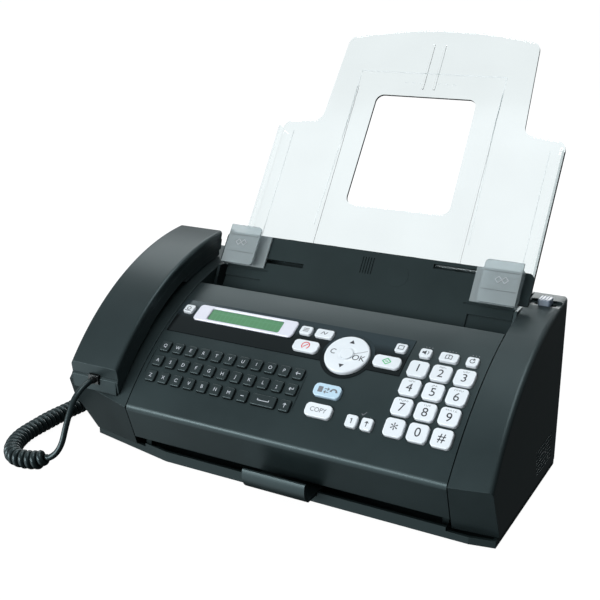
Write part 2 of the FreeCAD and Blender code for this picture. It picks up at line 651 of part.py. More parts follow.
def make_base_shell():
    body = base_plan(0, FLOOR_Z, DECK_Z).cut(base_plan(SHELL_T, FLOOR_Z + SHELL_T, DECK_Z + 1))
    lip = base_plan(0, DECK_Z - 0.5, LIP_Z).cut(base_plan(SHELL_T, DECK_Z - 1, LIP_Z + 1))
    body = body.fuse(lip.common(box(-WING_X + 2, WING_X - 2, 0, LIP_Y + 4, 0, 20)))
    x0, x1, z0, z1 = TONGUE
    body = body.cut(box(x0 - 0.5, x1 + 0.5, 0, 12, z0 - 0.4, 20))
    for x in (x0 - 2.4, x1 + 0.5):
        body = body.fuse(box(x, x + 1.9, 24, 80, 3, z1 + 0.5))
        inner = x if x < x0 else x - 2.0
        body = body.fuse(box(inner, inner + 3.9, 24, 80, z1 + 0.4, z1 + 1.6))
    body = body.fuse(box(x0 + 6, x1 - 6, 24, 80, 3, z0 - 0.3))
    body = body.fuse(side_frame(-1)).fuse(side_frame(1)).fuse(motor_bracket())
    for x, y in FEET:
        body = body.cut(Part.makeCylinder(FOOT_R, FOOT_SINK, V(x, y, FLOOR_Z)))
    for x, y in POSTS:
        post = Part.makeCylinder(3.5, 14, V(x, y, 3)).cut(Part.makeCylinder(1.4, 12, V(x, y, 7)))
        body = body.fuse(post)
    for x in (-80, -40, 40, 80):
        body = body.fuse(Part.makeCylinder(2.2, DECK_Z - 3, V(x, 88, 3)))
        body = body.fuse(Part.makeCylinder(2.2, DECK_Z - 3, V(x, 120, 3)))
    vents = [box(-60 + 9 * i, -56 + 9 * i, 98, 112, FLOOR_Z - 1, FLOOR_Z + 3) for i in range(14)]
    return body.cut(Part.makeCompound(vents)).removeSplitter()


def make_feet():
    feet = []
    for x, y in FEET:
        foot = Part.makeCylinder(FOOT_R - 0.1, FLOOR_Z + FOOT_SINK, V(x, y, 0))
        feet.append(foot.makeChamfer(0.4, top_edges(foot, 0)))
    return Part.makeCompound(feet)


def make_main_board():
    board = box(-96, 96, 84, 124, DECK_Z + 0.1, DECK_Z + 1.7)
    parts = [board]
    for x, y, w, d, h in ((-70, 100, 20, 20, 2.0), (-30, 106, 14, 14, 1.8), (5, 100, 10, 14, 1.8),
                          (76, 88.5, 20, 8, 12), (40, 88.5, 12, 8, 9)):
        parts.append(box(x - w / 2, x + w / 2, y - d / 2, y + d / 2, DECK_Z + 1.5, DECK_Z + 1.7 + h))
    for i in range(5):
        parts.append(Part.makeCylinder(2.5, 8, V(-52 + 9 * i, 88, DECK_Z + 1.5)))
    return fuse(*parts)


# Line and power sockets in the right cover's rear wall: middle x and z, width, height.
REAR_SOCKETS = (WING_X + 12.8, 27.0, 15.0, 36.0)


def make_socket_block():
    """Jack for the handset cord on the left, and line and power sockets at the back."""
    y, z = BASE_JACK
    jack = box(LEFT_X + 14, LEFT_X + 32, y - 8, y + 8, DECK_Z + 0.2, z + 6.5)
    jack = jack.cut(box(LEFT_X + 12, LEFT_X + 30, y - 4.6, y + 4.6, z - 4.2, z + 4.2))
    jack = trimmed(jack, LEFT_PLANES, SHELL_T + 0.2)
    x, z, w, h = REAR_SOCKETS
    back = rear_wall(z - h / 2)[0] - SHELL_T - 1.8
    block = box(x - w / 2 - 2, x + w / 2 + 2, back - 14, back, z - h / 2 - 1, z + h / 2 + 1)
    for level in (z - 12, z - 2):
        block = block.cut(box(x - 6, x + 6, back - 11, back + 1, level - 4, level + 4))
    inlet = box(x - 7, x + 7, back - 10, back + 1, z + 6, z + 16)
    pins = [box(x - 4, x - 2.4, back - 12, back - 3, z + 10, z + 12),
            box(x + 2.4, x + 4, back - 12, back - 3, z + 10, z + 12)]
    block = block.cut(inlet).fuse(pins[0]).fuse(pins[1])
    return Part.makeCompound([jack, block])


RAMP_T = 2.0


def lean_slab(frame_y, frame_z, x0, x1, s0, s1, d0, d1):
    """Block in a leaning frame: x across, s up the lean and d out of its front face."""
    return place(box(x0 - PAPER_X, x1 - PAPER_X, s0, s1, d0, d1), lean_frame(frame_y, frame_z))


def make_rear_shell():
    w = WING_X - 0.4
    top = TOP_REAR_Z
    outline = [rear_wall(top), rear_wall(DECK_Z + 0.3), rear_wall(DECK_Z + 0.3, 2.3),
               rear_wall(top - 2.4, 2.3), (148.2, top - 2.4), (148.2, top)]
    body = slab(outline, -w, w)
    ramp = lean_slab(TRAY_Y, TRAY_Z, -HOPPER_X, HOPPER_X, -TRAY_DOWN - 3, 0, -RAMP_T - 0.4, -0.4)
    body = body.fuse(ramp)
    for side in (-1, 1):
        x0, x1 = sorted((side * 80, side * HOPPER_X))
        ledge = lean_slab(TRAY_Y, TRAY_Z, x0, x1, -TRAY_DOWN - 2.4, -TRAY_DOWN - 0.4, -1, 9)
        body = body.fuse(ledge)
        x0, x1 = sorted((side * HOPPER_X, side * w))
        cheek = slab([(101, 80), (148.0, 80), (149.9, top - 2.5), (148, 107), (114.5, 107)], x0, x1)
        body = body.fuse(cheek)
    chute = slab([(128.2, 82.5), (113.0, 66.0), (114.6, 64.6), (131, 82.5)], -HOPPER_X, HOPPER_X)
    body = body.fuse(chute)
    louvres = [box(-95 + 7 * i, -91.5 + 7 * i, 115, 145, 20, 44) for i in range(16)]
    return body.cut(Part.makeCompound(louvres)).removeSplitter()


# ---------------------------------------------------------------- paper supports
WALL_X = PAPER_W / 2
PLATE_HALF = WALL_X + 7.5
TRAY_HALF = WALL_X + 2.0
PINION_TEETH = 14
PINION_S = 29.3
RACK_LOW = PINION_S - MODULE * PINION_TEETH / 2
RACK_HIGH = PINION_S + MODULE * PINION_TEETH / 2
RACK_T = 2.6
RACK_GAP = 0.4
PIN_X = WALL_X - 27.5            # guide pins, from the middle of the paper
PLATE_LOW_HALF = HOPPER_X - PAPER_X - 0.5


def on_plate(shape):
    return place(shape, lean_frame(PLATE_Y, PLATE_Z))


def make_support_plate():
    low, top, t = -PLATE_DOWN, PLATE_UP, PLATE_T
    points = [(-PLATE_LOW_HALF, low), (PLATE_LOW_HALF, low), (PLATE_LOW_HALF, 18.5),
              (PLATE_HALF, 18.5), (PLATE_HALF, top), (-PLATE_HALF, top), (-PLATE_HALF, 18.5),
              (-PLATE_LOW_HALF, 18.5)]
    plate = prism([(x, s, -t) for x, s in points], V(0, 0, t))
    corners = edges_at(plate, lambda x, y, z: abs(abs(x) - PLATE_HALF) < 0.1 and abs(y - top) < 0.1)
    plate = plate.makeFillet(4, corners)
    for side, s in ((-1, RACK_LOW), (1, RACK_HIGH)):
        x0, x1 = sorted((side * (PIN_X + 2), side * (PIN_X - GUIDE_TRAVEL - 2)))
        plate = plate.cut(box(x0, x1, s - 1.6, s + 1.6, -5, 5))
    for side in (-1, 1):
        x0, x1 = sorted((side * (PLATE_LOW_HALF + 1), side * 78))
        plate = plate.cut(box(x0, x1, -1.5, 7.5, -1.0, 3))
        x0, x1 = sorted((side * (WALL_X - GUIDE_TRAVEL - 3), side * (PLATE_HALF - 1)))
        plate = plate.cut(box(x0, x1, GUIDE_LOW - 1, GUIDE_LOW, -0.6, 3))
    for i in range(5):
        plate = plate.cut(box(-4 + 2 * i, -3.2 + 2 * i, 24, 36, -0.5, 3))
    hub = Part.makeCylinder(2.5, RACK_T + 2.0, V(0, PINION_S, -t - RACK_T - 1.9))
    plate = plate.fuse(hub)
    for side in (-1, 1):
        for x in (30, 62):
            keeper = box(side * x - 3, side * x + 3, RACK_LOW - 4.8, RACK_LOW - 3.0,
                         -t - RACK_T - 2.2, -t + 0.1)
            upper = keeper.translate(V(0, 2 * (PINION_S - RACK_LOW) + 7.8, 0))
            plate = plate.fuse(keeper).fuse(upper)
    guide = slab([(102.9, 86.9), (92.5, 72.5), (84, 65), (83, 66.2), (91, 73.6), (101.5, 88)],
                 -PLATE_LOW_HALF + 3, PLATE_LOW_HALF - 3)
    return on_plate(plate.removeSplitter()).fuse(guide).removeSplitter()


def rack(side):
    """Toothed bar behind the plate, on the pinion's lower side (-1) or upper side (1).

    A pinion tooth points along X at rest, so with 14 teeth a gap faces each rack, and each rack
    has a tooth at the middle.
    """
    s = RACK_LOW if side < 0 else RACK_HIGH
    inward = 1 if side < 0 else -1            # from the bar towards the pinion
    z0 = -PLATE_T - RACK_GAP - RACK_T
    x0, x1 = sorted((side * (PIN_X + 3), side * -6.0))
    edge = s - inward * 1.25 * MODULE
    low, high = sorted((edge, s - inward * 3.0))
    body = box(x0, x1, low, high, z0, z0 + RACK_T)
    pitch = math.pi * MODULE
    tip, root = 0.95 * MODULE, 1.25 * MODULE
    slope = math.tan(math.radians(20))
    for i in range(-1, 12):
        x = side * pitch * i
        half = pitch / 4 - BACKLASH / 4
        tooth = [(x - half - root * slope, s - inward * (root + 0.1), z0),
                 (x + half + root * slope, s - inward * (root + 0.1), z0),
                 (x + half - tip * slope, s + inward * tip, z0),
                 (x - half + tip * slope, s + inward * tip, z0)]
        body = body.fuse(prism(tooth, V(0, 0, RACK_T)))
    return body.removeSplitter()


def make_guide(side):
    pad0, pad1 = PIN_X - 3, WALL_X + GUIDE_T
    x = sorted((side * pad0, side * pad1))
    pad = box(*x, GUIDE_LOW + 1, GUIDE_HIGH - 4, 0.35, 1.5)
    wall = box(*sorted((side * WALL_X, side * (WALL_X + GUIDE_T))), GUIDE_LOW, GUIDE_HIGH - 4,
               0.35, GUIDE_DEPTH)
    lean = box(*sorted((side * (WALL_X - GUIDE_FLAP), side * (WALL_X + GUIDE_T))), GUIDE_LOW,
               GUIDE_HIGH, GUIDE_DEPTH - GUIDE_T, GUIDE_DEPTH)
    corners = edges_at(lean, lambda a, b, c: abs(abs(a) - WALL_X + GUIDE_FLAP) < 0.1
                       and min(abs(b - GUIDE_LOW), abs(b - GUIDE_HIGH)) < 0.1)
    lean = lean.makeFillet(3, corners)
    s = RACK_LOW if side < 0 else RACK_HIGH
    x0, x1 = side * PIN_X - 1.6, side * PIN_X + 1.6
    pin = box(x0, x1, s - 1.2, s + 1.2, -PLATE_T - RACK_GAP - 0.2, 0.5)
    return on_plate(fuse(pad, wall, lean, rack(side), pin))


def make_guide_pinion():
    """Pinion between the two racks, made about X and turned into the plate's frame."""
    wheel = gear(PINION_TEETH, 0.0, (0, 0), 0, RACK_T, 2.5 + RUN_CLEAR)
    stand = FreeCAD.Matrix(0, 1, 0, 0, 0, 0, 1, PINION_S, 1, 0, 0, 0, 0, 0, 0, 1)
    z0 = -PLATE_T - RACK_GAP - RACK_T
    turned = place(wheel, stand).translate(V(0, 0, z0))
    return on_plate(turned)


def make_paper_tray():
    low, top, shoulder = -TRAY_DOWN, TRAY_TOP, TRAY_SHOULDER
    narrow = PLATE_LOW_HALF - 0.5
    right = [(narrow, low), (narrow, 1.0), (TRAY_HALF, 3.5), (TRAY_HALF, shoulder - 3.5),
             (TRAY_NECK_HALF + 1, shoulder), (TRAY_TOP_HALF, top)]
    ring = [V(x, s, 0) for x, s in right] + [V(-x, s, 0) for x, s in reversed(right)]
    edges = [Part.LineSegment(a, b).toShape() for a, b in zip(ring, ring[1:]) if a != b]
    edges = [e for e in edges if not (e.valueAt(e.FirstParameter).y == top
                                      and e.valueAt(e.LastParameter).y == top)]
    crown = Part.Arc(V(TRAY_TOP_HALF, top, 0), V(0, top + TRAY_CROWN, 0), V(-TRAY_TOP_HALF, top, 0))
    edges.append(crown.toShape())
    edges.append(Part.LineSegment(ring[-1], ring[0]).toShape())
    sheet = Part.Face(Part.Wire(Part.sortEdges(edges)[0])).extrude(V(0, 0, TRAY_T))
    soft = edges_at(sheet, lambda x, y, z: abs(z - TRAY_T / 2) < 0.1 and y > 60)
    sheet = sheet.makeFillet(7, soft)
    for side in (-1, 1):
        x0, x1 = sorted((side * (TRAY_HALF - TRAY_T), side * TRAY_HALF))
        sheet = sheet.fuse(box(x0, x1, 6, shoulder - 11, 0, TRAY_FLANGE))
    window = prism([(-WINDOW_HALF_LOW, WINDOW_LOW, -1), (WINDOW_HALF_LOW, WINDOW_LOW, -1),
                    (WINDOW_HALF_HIGH, WINDOW_HIGH, -1), (-WINDOW_HALF_HIGH, WINDOW_HIGH, -1)],
                   V(0, 0, 5))
    window = window.makeFillet(6, edges_at(window, lambda x, y, z: abs(z - 1.5) < 0.1))
    sheet = sheet.cut(window)
    for x in (-4.5, 4.5):
        sheet = sheet.fuse(box(x - 0.8, x + 0.8, WINDOW_HIGH + 6, top - 4, TRAY_T - 0.1, TRAY_T + 0.8))
    for side in (-1, 1):
        x0, x1 = sorted((side * 56, side * 57.4))
        sheet = sheet.fuse(box(x0, x1, 14, shoulder + 30, TRAY_T - 0.1, TRAY_T + 0.6))
    return place(sheet.removeSplitter(), lean_frame(TRAY_Y, TRAY_Z))


def make_exit_tray():
    x0, x1, z0, z1 = TONGUE
    tongue = box(x0, x1, -3.0, 78, z0, z1)
    curl = slab([(-3.0, z0), (-3.0, z1), ((-5.6, z1 + 3.2), (-6.4, 20.0)),
                 (-8.0, 20.0), ((-7.0, z1 + 1.6), (-3.6, z0))], x0, x1)
    body = tongue.fuse(curl).removeSplitter()
    stop = box(x0 + 4, x1 - 4, 74, 78, z1 - 0.1, z1 + 1.0)
    return body.fuse(stop).removeSplitter()


# ---------------------------------------------------------------- rollers, drive and scanner
def make_roller(radius, at, x_out, groove=False):
    """Rubber roller on its shaft; x_out is the shaft's left end."""
    core = rod_x(radius, -FRAME_X + 2.5, FRAME_X - 2.5, at)
    if groove:
        for x in (-60, 0, 60):
            core = core.cut(rod_x(radius + 1, x - 16, x + 16, at).cut(rod_x(radius - 4, x - 17, x + 17, at)))
    return core.fuse(rod_x(SHAFT_R, x_out, FRAME_X + 2.8, at))


def make_film_roll(radius, at, x_out):
    """Spool of film with an end disc each side."""
    core = rod_x(radius, 2 - ROLL_X, ROLL_X - 2, at)
    discs = rod_x(radius + 2.0, -ROLL_X, 2 - ROLL_X, at)
    discs = discs.fuse(rod_x(radius + 2.0, ROLL_X - 2, ROLL_X, at))
    return fuse(core, discs, rod_x(SHAFT_R, x_out, FRAME_X + 2.8, at))


def gear_phases():
    """Phases that bring the whole train into mesh at rest."""
    platen = 0.0
    others = {}
    for name, teeth, degrees in (("pick", PICK_TEETH, PICK_DIRECTION),
                                 ("takeup", TAKEUP_TEETH, TAKEUP_DIRECTION),
                                 ("motor", MOTOR_TEETH, MOTOR_DIRECTION)):
        others[name] = meshing_phase(PLATEN_TEETH, platen, teeth, math.radians(degrees))
    others["platen"] = platen
    return others


def train_gear(name, teeth, at, bore=SHAFT_R):
    x0 = GEAR_X - GEAR_W
    wheel = gear(teeth, gear_phases()[name], at, x0, GEAR_W, bore)
    if teeth > 20:
        r = MODULE * teeth / 2
        ring = rod_x(r - 3.0, x0 - 1, x0 + 1.5, at).cut(rod_x(5.5, x0 - 2, x0 + 2, at))
        wheel = wheel.cut(ring)
    return wheel


def make_pick_roller():
    at = pick_at()
    shaft = make_roller(PICK_R, at, GEAR_X - GEAR_W, True)
    return shaft.fuse(train_gear("pick", PICK_TEETH, at, 0))


def make_motor_pinion():
    at = motor_at()
    x0 = GEAR_X - GEAR_W
    return train_gear("motor", MOTOR_TEETH, at, 0).fuse(rod_x(1.5, MOTOR_X - 4.2, x0 + 1, at))


def make_drive_motor():
    at = motor_at()
    end = MOTOR_X - 24.2
    can = rod_x(MOTOR_R, end, MOTOR_X - 1.8, at)
    can = can.makeFillet(2.0, edges_at(can, lambda x, y, z: x < end + 0.1))
    flange = slab([(at[0] - 21, at[1] - 8), (at[0] - 21, at[1] + 8), (at[0] - 8, at[1] + 15),
                   (at[0] + 8, at[1] + 15), (at[0] + 21, at[1] + 8), (at[0] + 21, at[1] - 8),
                   (at[0] + 8, at[1] - 17), (at[0] - 8, at[1] - 17)], MOTOR_X - 1.8, MOTOR_X)
    body = can.fuse(flange)
    return body.cut(rod_x(1.9, MOTOR_X - 8, MOTOR_X + 2, at)).removeSplitter()


def make_scanner_bar():
    body = slab([(46, 38), (44, 41), (44, 47), (47, 50), (58, 50), (61, 47), (61, 41), (59, 38)],
                2.5 - FRAME_X, FRAME_X - 2.5)
    glass = box(3.5 - FRAME_X, FRAME_X - 3.5, 49, 56, 49.9, 50.8)
    return body.fuse(glass).removeSplitter()


def make_print_head():
    heater = slab([(64, 12), (64, 20), (69, 24.6), (75, 24.6), (80, 20), (80, 12)],
                  2.5 - FRAME_X, FRAME_X - 2.5)
    fins = [box(-100 + 8 * i, -96 + 8 * i, 66, 78, 11, 15) for i in range(25)]
    return heater.cut(Part.makeCompound(fins))


# ---------------------------------------------------------------- handset and its cord
BACK = ((3.0, 61.0), (52.0, 102.0), (134.0, 127.0))
PART_LINE = 6.0                 # the two halves meet this far under the back
HOOK_RISE = 2.4


def handset_arc(offset, front, rear):
    """Three (y, z) points of an arc parallel to the handset's back, between two places on Y."""
    middle, radius = circle_through(*BACK)
    r = radius + offset
    out = []
    for y in (front, (front + rear) / 2, rear):
        out.append((y, middle[1] + math.sqrt(r ** 2 - (y - middle[0]) ** 2)))
    return out


def handset_body(top, low, front, rear, x0, x1):
    a, b, c = handset_arc(top, front, rear)
    d, e, f = handset_arc(low, front + 1.2, rear - 2.0)
    return slab([a, (b, c), f, (e, d)], x0, x1)


JACK = (HANDSET_X, 51.0)
JACK_W = 9.2
JACK_H = 7.0
CHEEK_GAP = 0.8                 # under the mouth and ear ends, over the cover


def over_cover(y):
    """Height just clear of the left cover's top at that y."""
    if y > PANEL_REAR_Y:
        return top_of_cover(y) + CHEEK_GAP
    return CENTRE[1] + math.sqrt((RADIUS + CHEEK_GAP) ** 2 - (y - CENTRE[0]) ** 2)


def jack_hole():
    x, z = JACK
    return box(x - JACK_W / 2, x + JACK_W / 2, 0, 7.6, z - JACK_H / 2, z + JACK_H / 2)


def make_handset_back():
    x0, x1 = HANDSET_X0, HANDSET_X1
    outer = handset_body(0, -PART_LINE, 3.0, 134.0, x0, x1)
    crown = edges_at(outer, lambda x, y, z: z > handset_arc(-1, y - 0.5, y + 0.5)[1][1] if 4 < y < 133
                     else False)
    outer = outer.makeFillet(2.5, [e for e in crown if e.Length > 60])
    inner = handset_body(-2.2, -PART_LINE - 1, 5.4, 131.6, x0 + 2.2, x1 - 2.2)
    return outer.cut(inner).cut(jack_hole())


def make_handset_front():
    """The side towards the face: handle with a thicker mouth end and ear end."""
    x0, x1 = HANDSET_X0, HANDSET_X1
    handle = handset_body(-PART_LINE, -13.0, 3.2, 133.0, x0, x1)
    under = slab([(0, 0), (0, over_cover(0.1)), ((20, over_cover(20)), (40, over_cover(40))),
                  (40, 0)], x0 - 1, x1 + 1)
    handle = handle.cut(under)
    low_front = cup_seat(round_rect(x1 - x0 - 6.4, CUPS[0][1] - 3, 4, -3.2, 12.0), 0)
    low_rear = cup_seat(round_rect(x1 - x0 - 6.4, CUPS[1][1] - 3, 4, -3.2, 12.0), 1)
    body = handle.fuse(low_front).fuse(low_rear)
    above = handset_body(110.0, -PART_LINE, -20.0, 160.0, x0 - 5, x1 + 5)
    body = body.cut(above)
    for y0, y1 in ((3.2, 43.0), (88.0, 131.0)):
        heights = [over_cover(y) for y in (y0, (y0 + y1) / 2, y1)]
        chin = slab([(y0, heights[0]), (y0, 150), (y1, 150), (y1, heights[2]),
                     (((y0 + y1) / 2, heights[1]), (y0, heights[0]))], x0 + 1.5, x1 - 1.5)
        body = body.fuse(chin.cut(above))
    hollow = handset_body(-PART_LINE + 1, -10.8, 6.0, 130.0, x0 + 2.2, x1 - 2.2)
    body = body.cut(hollow)
    for index in (0, 1):
        body = body.cut(cup_seat(round_rect(x1 - x0 - 11, CUPS[index][1] - 8, 3, -1.4, 14.0), index)
                        .cut(above))
        for i in (-2, -1, 0, 1, 2):
            for j in (-2, -1, 0, 1, 2):
                hole = Part.makeCylinder(0.9, 6, V(3.4 * i, 3.4 * j, -5))
                body = body.cut(cup_seat(hole, index))
    return body.cut(jack_hole())


def make_handset_plug():
    x, z = JACK
    body = box(x - 4.0, x + 4.0, 2.0, 7.2, z - 3.0, z + 3.0)
    neck = Part.makeCylinder(2.6, 3.0, V(x, 2.1, z), V(0, -1, 0))
    return body.fuse(neck).removeSplitter()


def make_hook_plunger():
    x, y = HOOK
    top = surface(RADIUS * (START - math.acos((y - CENTRE[0]) / RADIUS)))[1] + 0.2
    post = round_rect(7.6, 5.6, 0.8, top - 8.8, top, x, y)
    post = post.makeFillet(1.0, top_edges(post, top))
    return post.fuse(round_rect(11, 5.6, 1, top - 8.8, top - 7.6, x, y))


LEAD_PATH = [(-140.5, -0.9, 51.0), (-140.5, -15.0, 49.0), (-139.5, -27.0, 33.0),
             (-138.5, -37.0, 14.0), (-149.4, -41.8, 8.2)]
CURL_PATH = [(-151.0, -42.5, 7.4), (-174.0, -46.0, 6.5), (-190.0, -24.0, 6.5),
             (-192.0, 8.0, 6.5), (-190.0, 45.0, 6.5), (-187.0, 70.0, 6.5)]
TAIL_PATH = [(-187.0, 70.5, 6.5), (-186.0, 91.0, 6.6), (-178.0, 103.0, 10.0),
             (-163.6, 106.0, 13.0)]


def tube(path, diameter):
    """Round tube along straight runs with a tangent arc at each turn."""
    points = [V(*p) for p in path]
    edges = []
    at = points[0]
    radii = []
    for a, b, c in zip(points, points[1:], points[2:]):
        into, out = (b - a).normalize(), (c - b).normalize()
        turn = into.getAngle(out)
        reach = 0.45 * min((b - a).Length, (c - b).Length)
        radii.append(round(reach / math.tan(turn / 2), 1))
        start, end = b - into * reach, b + out * reach
        bulge = (out - into).normalize() * (radii[-1] / math.cos(turn / 2) - radii[-1])
        edges.append(Part.LineSegment(at, start).toShape())
        edges.append(Part.Arc(start, b + bulge, end).toShape())
        at = end
    edges.append(Part.LineSegment(at, points[-1]).toShape())
    spine = Part.Wire(edges)
    ring = Part.makeCircle(diameter / 2, points[0], points[1] - points[0])
    body = spine.makePipeShell([Part.Wire(ring)], True, True)
    total = sum(e.Length for e in edges)
    ratio = body.Volume / (math.pi * diameter ** 2 / 4 * total)
    print("cord: radii", radii, "length", round(total, 1), "volume ratio", round(ratio, 3))
    return body


def make_base_plug():
    y, z = BASE_JACK
    body = box(LEFT_X + 6, LEFT_X + 26, y - 4.2, y + 4.2, z - 3.8, z + 3.8)
    boot = Part.makeCylinder(3.0, 1.4, V(LEFT_X + 6.1, y, z), V(-1, 0, 0))
    return body.fuse(boot).removeSplitter()


# ---------------------------------------------------------------- assembly
def build():
    parts = {
        "base_shell": make_base_shell(),
        "feet": make_feet(),
        "left_wing": make_left_wing(),
        "right_wing": make_right_wing(),
        "rear_shell": make_rear_shell(),
        "support_plate": make_support_plate(),
        "main_board": make_main_board(),
        "drive_motor": make_drive_motor(),
        "scanner_bar": make_scanner_bar(),
        "print_head": make_print_head(),
        "socket_block": make_socket_block(),
        "mode_slider": make_mode_slider(),
        "exit_tray": make_exit_tray(),
        "paper_tray": make_paper_tray(),
        "guide_left": make_guide(-1),
        "guide_right": make_guide(1),
        "guide_pinion": make_guide_pinion(),
        "platen_roller": make_roller(PLATEN_R, PLATEN, GEAR_X - GEAR_W),
        "platen_gear": train_gear("platen", PLATEN_TEETH, PLATEN),
        "pick_roller": make_pick_roller(),
        "film_takeup_roll": make_film_roll(TAKEUP_R, takeup_at(), GEAR_X - GEAR_W),
        "takeup_gear": train_gear("takeup", TAKEUP_TEETH, takeup_at()),
        "film_supply_roll": make_film_roll(SUPPLY_R, SUPPLY, -FRAME_X - 2.8),
        "motor_pinion": make_motor_pinion(),
        "panel_shell": make_panel_shell(),
        "panel_trim": make_panel_trim(),
        "display_bezel": make_display_bezel(),
        "lcd": make_lcd(),
        "keypad_board": make_keypad_board(),
        "nav_dial": make_nav_dial(),
        "handset_back": make_handset_back(),
        "handset_front": make_handset_front(),
        "handset_plug": make_handset_plug(),
        "hook_plunger": make_hook_plunger(),
        "cord_lead": tube(LEAD_PATH, CORD_D),
        "cord_coil": tube(CURL_PATH, CURL_D),
        "cord_tail": tube(TAIL_PATH, CORD_D),
        "base_plug": make_base_plug(),
    }
    for name in sorted({spot[0] for spot in key_spots()}):
        parts[name] = make_keys(name)
    return parts


CORD_NODES = ("cord_lead", "cord_coil", "cord_tail", "base_plug", "handset_plug")


def origin_of(parts):
    """Middle of the bounding box, cord left out, at the height of the feet."""
    whole = FreeCAD.BoundBox()
    for name, shape in parts.items():
        if name not in CORD_NODES:
            whole.add(shape.BoundBox)
    return V(whole.Center.x, whole.Center.y, whole.ZMin), whole


def export():
    parts = build()
    origin, whole = origin_of(parts)
    print("origin", [round(v, 4) for v in origin], "size", [round(v, 2) for v in
          (whole.XLength, whole.YLength, whole.ZLength)])
    for name, shape in parts.items():
        moved = shape.copy()
        moved.translate(-origin)
        if not moved.isValid() or moved.Volume <= 0:
            print("check", name, moved.isValid(), round(moved.Volume, 1))
        moved.exportStep("parts/" + name + ".step")


export()
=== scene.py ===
"""Looks of the fax machine: materials, legends, marks, cord, floor, light and camera."""
import math

import bmesh
import bpy
from mathutils import Matrix, Vector


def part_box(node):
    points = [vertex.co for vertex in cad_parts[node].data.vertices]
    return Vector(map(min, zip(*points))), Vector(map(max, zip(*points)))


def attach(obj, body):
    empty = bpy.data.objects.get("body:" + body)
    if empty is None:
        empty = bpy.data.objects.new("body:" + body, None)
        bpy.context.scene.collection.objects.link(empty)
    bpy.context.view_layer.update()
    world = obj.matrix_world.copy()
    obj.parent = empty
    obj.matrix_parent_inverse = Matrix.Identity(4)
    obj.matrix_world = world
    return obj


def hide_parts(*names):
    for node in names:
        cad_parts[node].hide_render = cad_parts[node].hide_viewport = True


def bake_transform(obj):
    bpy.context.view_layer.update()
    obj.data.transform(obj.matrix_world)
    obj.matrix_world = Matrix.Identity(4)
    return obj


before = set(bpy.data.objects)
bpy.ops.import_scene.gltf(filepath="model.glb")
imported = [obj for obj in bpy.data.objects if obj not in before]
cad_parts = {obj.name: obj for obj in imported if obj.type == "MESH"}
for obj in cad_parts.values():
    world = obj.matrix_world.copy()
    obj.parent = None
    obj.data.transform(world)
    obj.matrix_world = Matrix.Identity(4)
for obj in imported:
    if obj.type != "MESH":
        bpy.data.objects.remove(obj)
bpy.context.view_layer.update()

MM = 0.001

# ------------------------------------------------------------------ the design's own coordinates
# Millimetres from the middle of the control panel's front edge, as in the CAD source. A place on the
# panel is given as x across and v up along its curve.
LIP_Y = 6.5                         # how far the base shell reaches in front of the panel
PANEL_MIDDLE = (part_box("panel_shell")[0][0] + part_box("panel_shell")[1][0]) / 2
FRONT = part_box("base_shell")[0][1] - LIP_Y * MM
PANEL_FRONT = (0.0, 37.5)           # (y, z) of the panel's front edge
PANEL_REAR = (91.7, 99.4)           # (y, z) of its rear edge
PANEL_BULGE = 7.9                   # rise of its curve above the straight line between them
TRIM_RISE = 0.35                    # height of the glossy strip above the panel
KEY_RISE = 2.1                      # height of the light keys above the panel
LETTER_RISE = 1.7                   # height of the dark letter keys above the panel
DIAL = (24.3, 69.0)                 # middle of the round key
DISH = 0.62                         # depth of the round key's dished middle
RING_RADII = (15.3, 17.7)           # inner and outer radius of the glossy ring round it
RING_SINK = 0.3                     # how deep that ring is set into the panel
PAPER_X = 2.5                       # middle of the paper path
LEAN = math.radians(55.6)           # of the support plate and the paper tray
PLATE = (108.0, 95.0)               # (y, z) of the support plate's lower end
TRAY = (144.4, 108.0)               # (y, z) of the paper tray's lower end
GUIDE_FACE = 8.02                   # from the plate's face to the guides' front
TRAY_FACE = 1.82                    # from the tray's middle to its front
RACK_UP = {-1: 22.3, 1: 36.3}       # how far up the plate each guide's rack runs, left and right
RACK_COVER_X = 64.0                 # middle of the cover behind each rack
RACK_COVER_D = -8.8                 # its depth behind the plate's face


def at(x, y, z):
    """Row-frame point, in metres, of a design point in millimetres."""
    return Vector((x * MM + PANEL_MIDDLE, y * MM + FRONT, z * MM))


def panel_circle():
    """Centre and radius, in (y, z), of the panel's curved surface."""
    (ay, az), (by, bz) = PANEL_FRONT, PANEL_REAR
    half = math.hypot(by - ay, bz - az) / 2
    radius = (half ** 2 + PANEL_BULGE ** 2) / (2 * PANEL_BULGE)
    along = ((by - ay) / half / 2, (bz - az) / half / 2)
    sink = radius - PANEL_BULGE
    centre = ((ay + by) / 2 + along[1] * sink, (az + bz) / 2 - along[0] * sink)
    return centre, radius


CENTRE, RADIUS = panel_circle()
START = math.atan2(PANEL_FRONT[1] - CENTRE[1], PANEL_FRONT[0] - CENTRE[0])


def on_panel(x, v, h=0.0):
    """Matrix of a place on the panel: X across, Y up the panel, Z out of it."""
    a = START - v / RADIUS
    out = Vector((0, math.cos(a), math.sin(a)))
    up = Vector((0, math.sin(a), -math.cos(a)))
    spot = at(x, CENTRE[0] + (RADIUS + h) * math.cos(a), CENTRE[1] + (RADIUS + h) * math.sin(a))
    return Matrix.Translation(spot) @ Matrix((Vector((1, 0, 0)), up, out)).transposed().to_4x4()


def on_lean(origin, x, s, d):
    """Matrix of a place on the support plate or the paper tray: X across, Y up it, Z out of it."""
    c, k = math.cos(LEAN), math.sin(LEAN)
    y = origin[0] + s * c - d * k
    z = origin[1] + s * k + d * c
    turn = Matrix(((1, 0, 0), (0, c, -k), (0, k, c))).to_4x4()
    return Matrix.Translation(at(x + PAPER_X, y, z)) @ turn


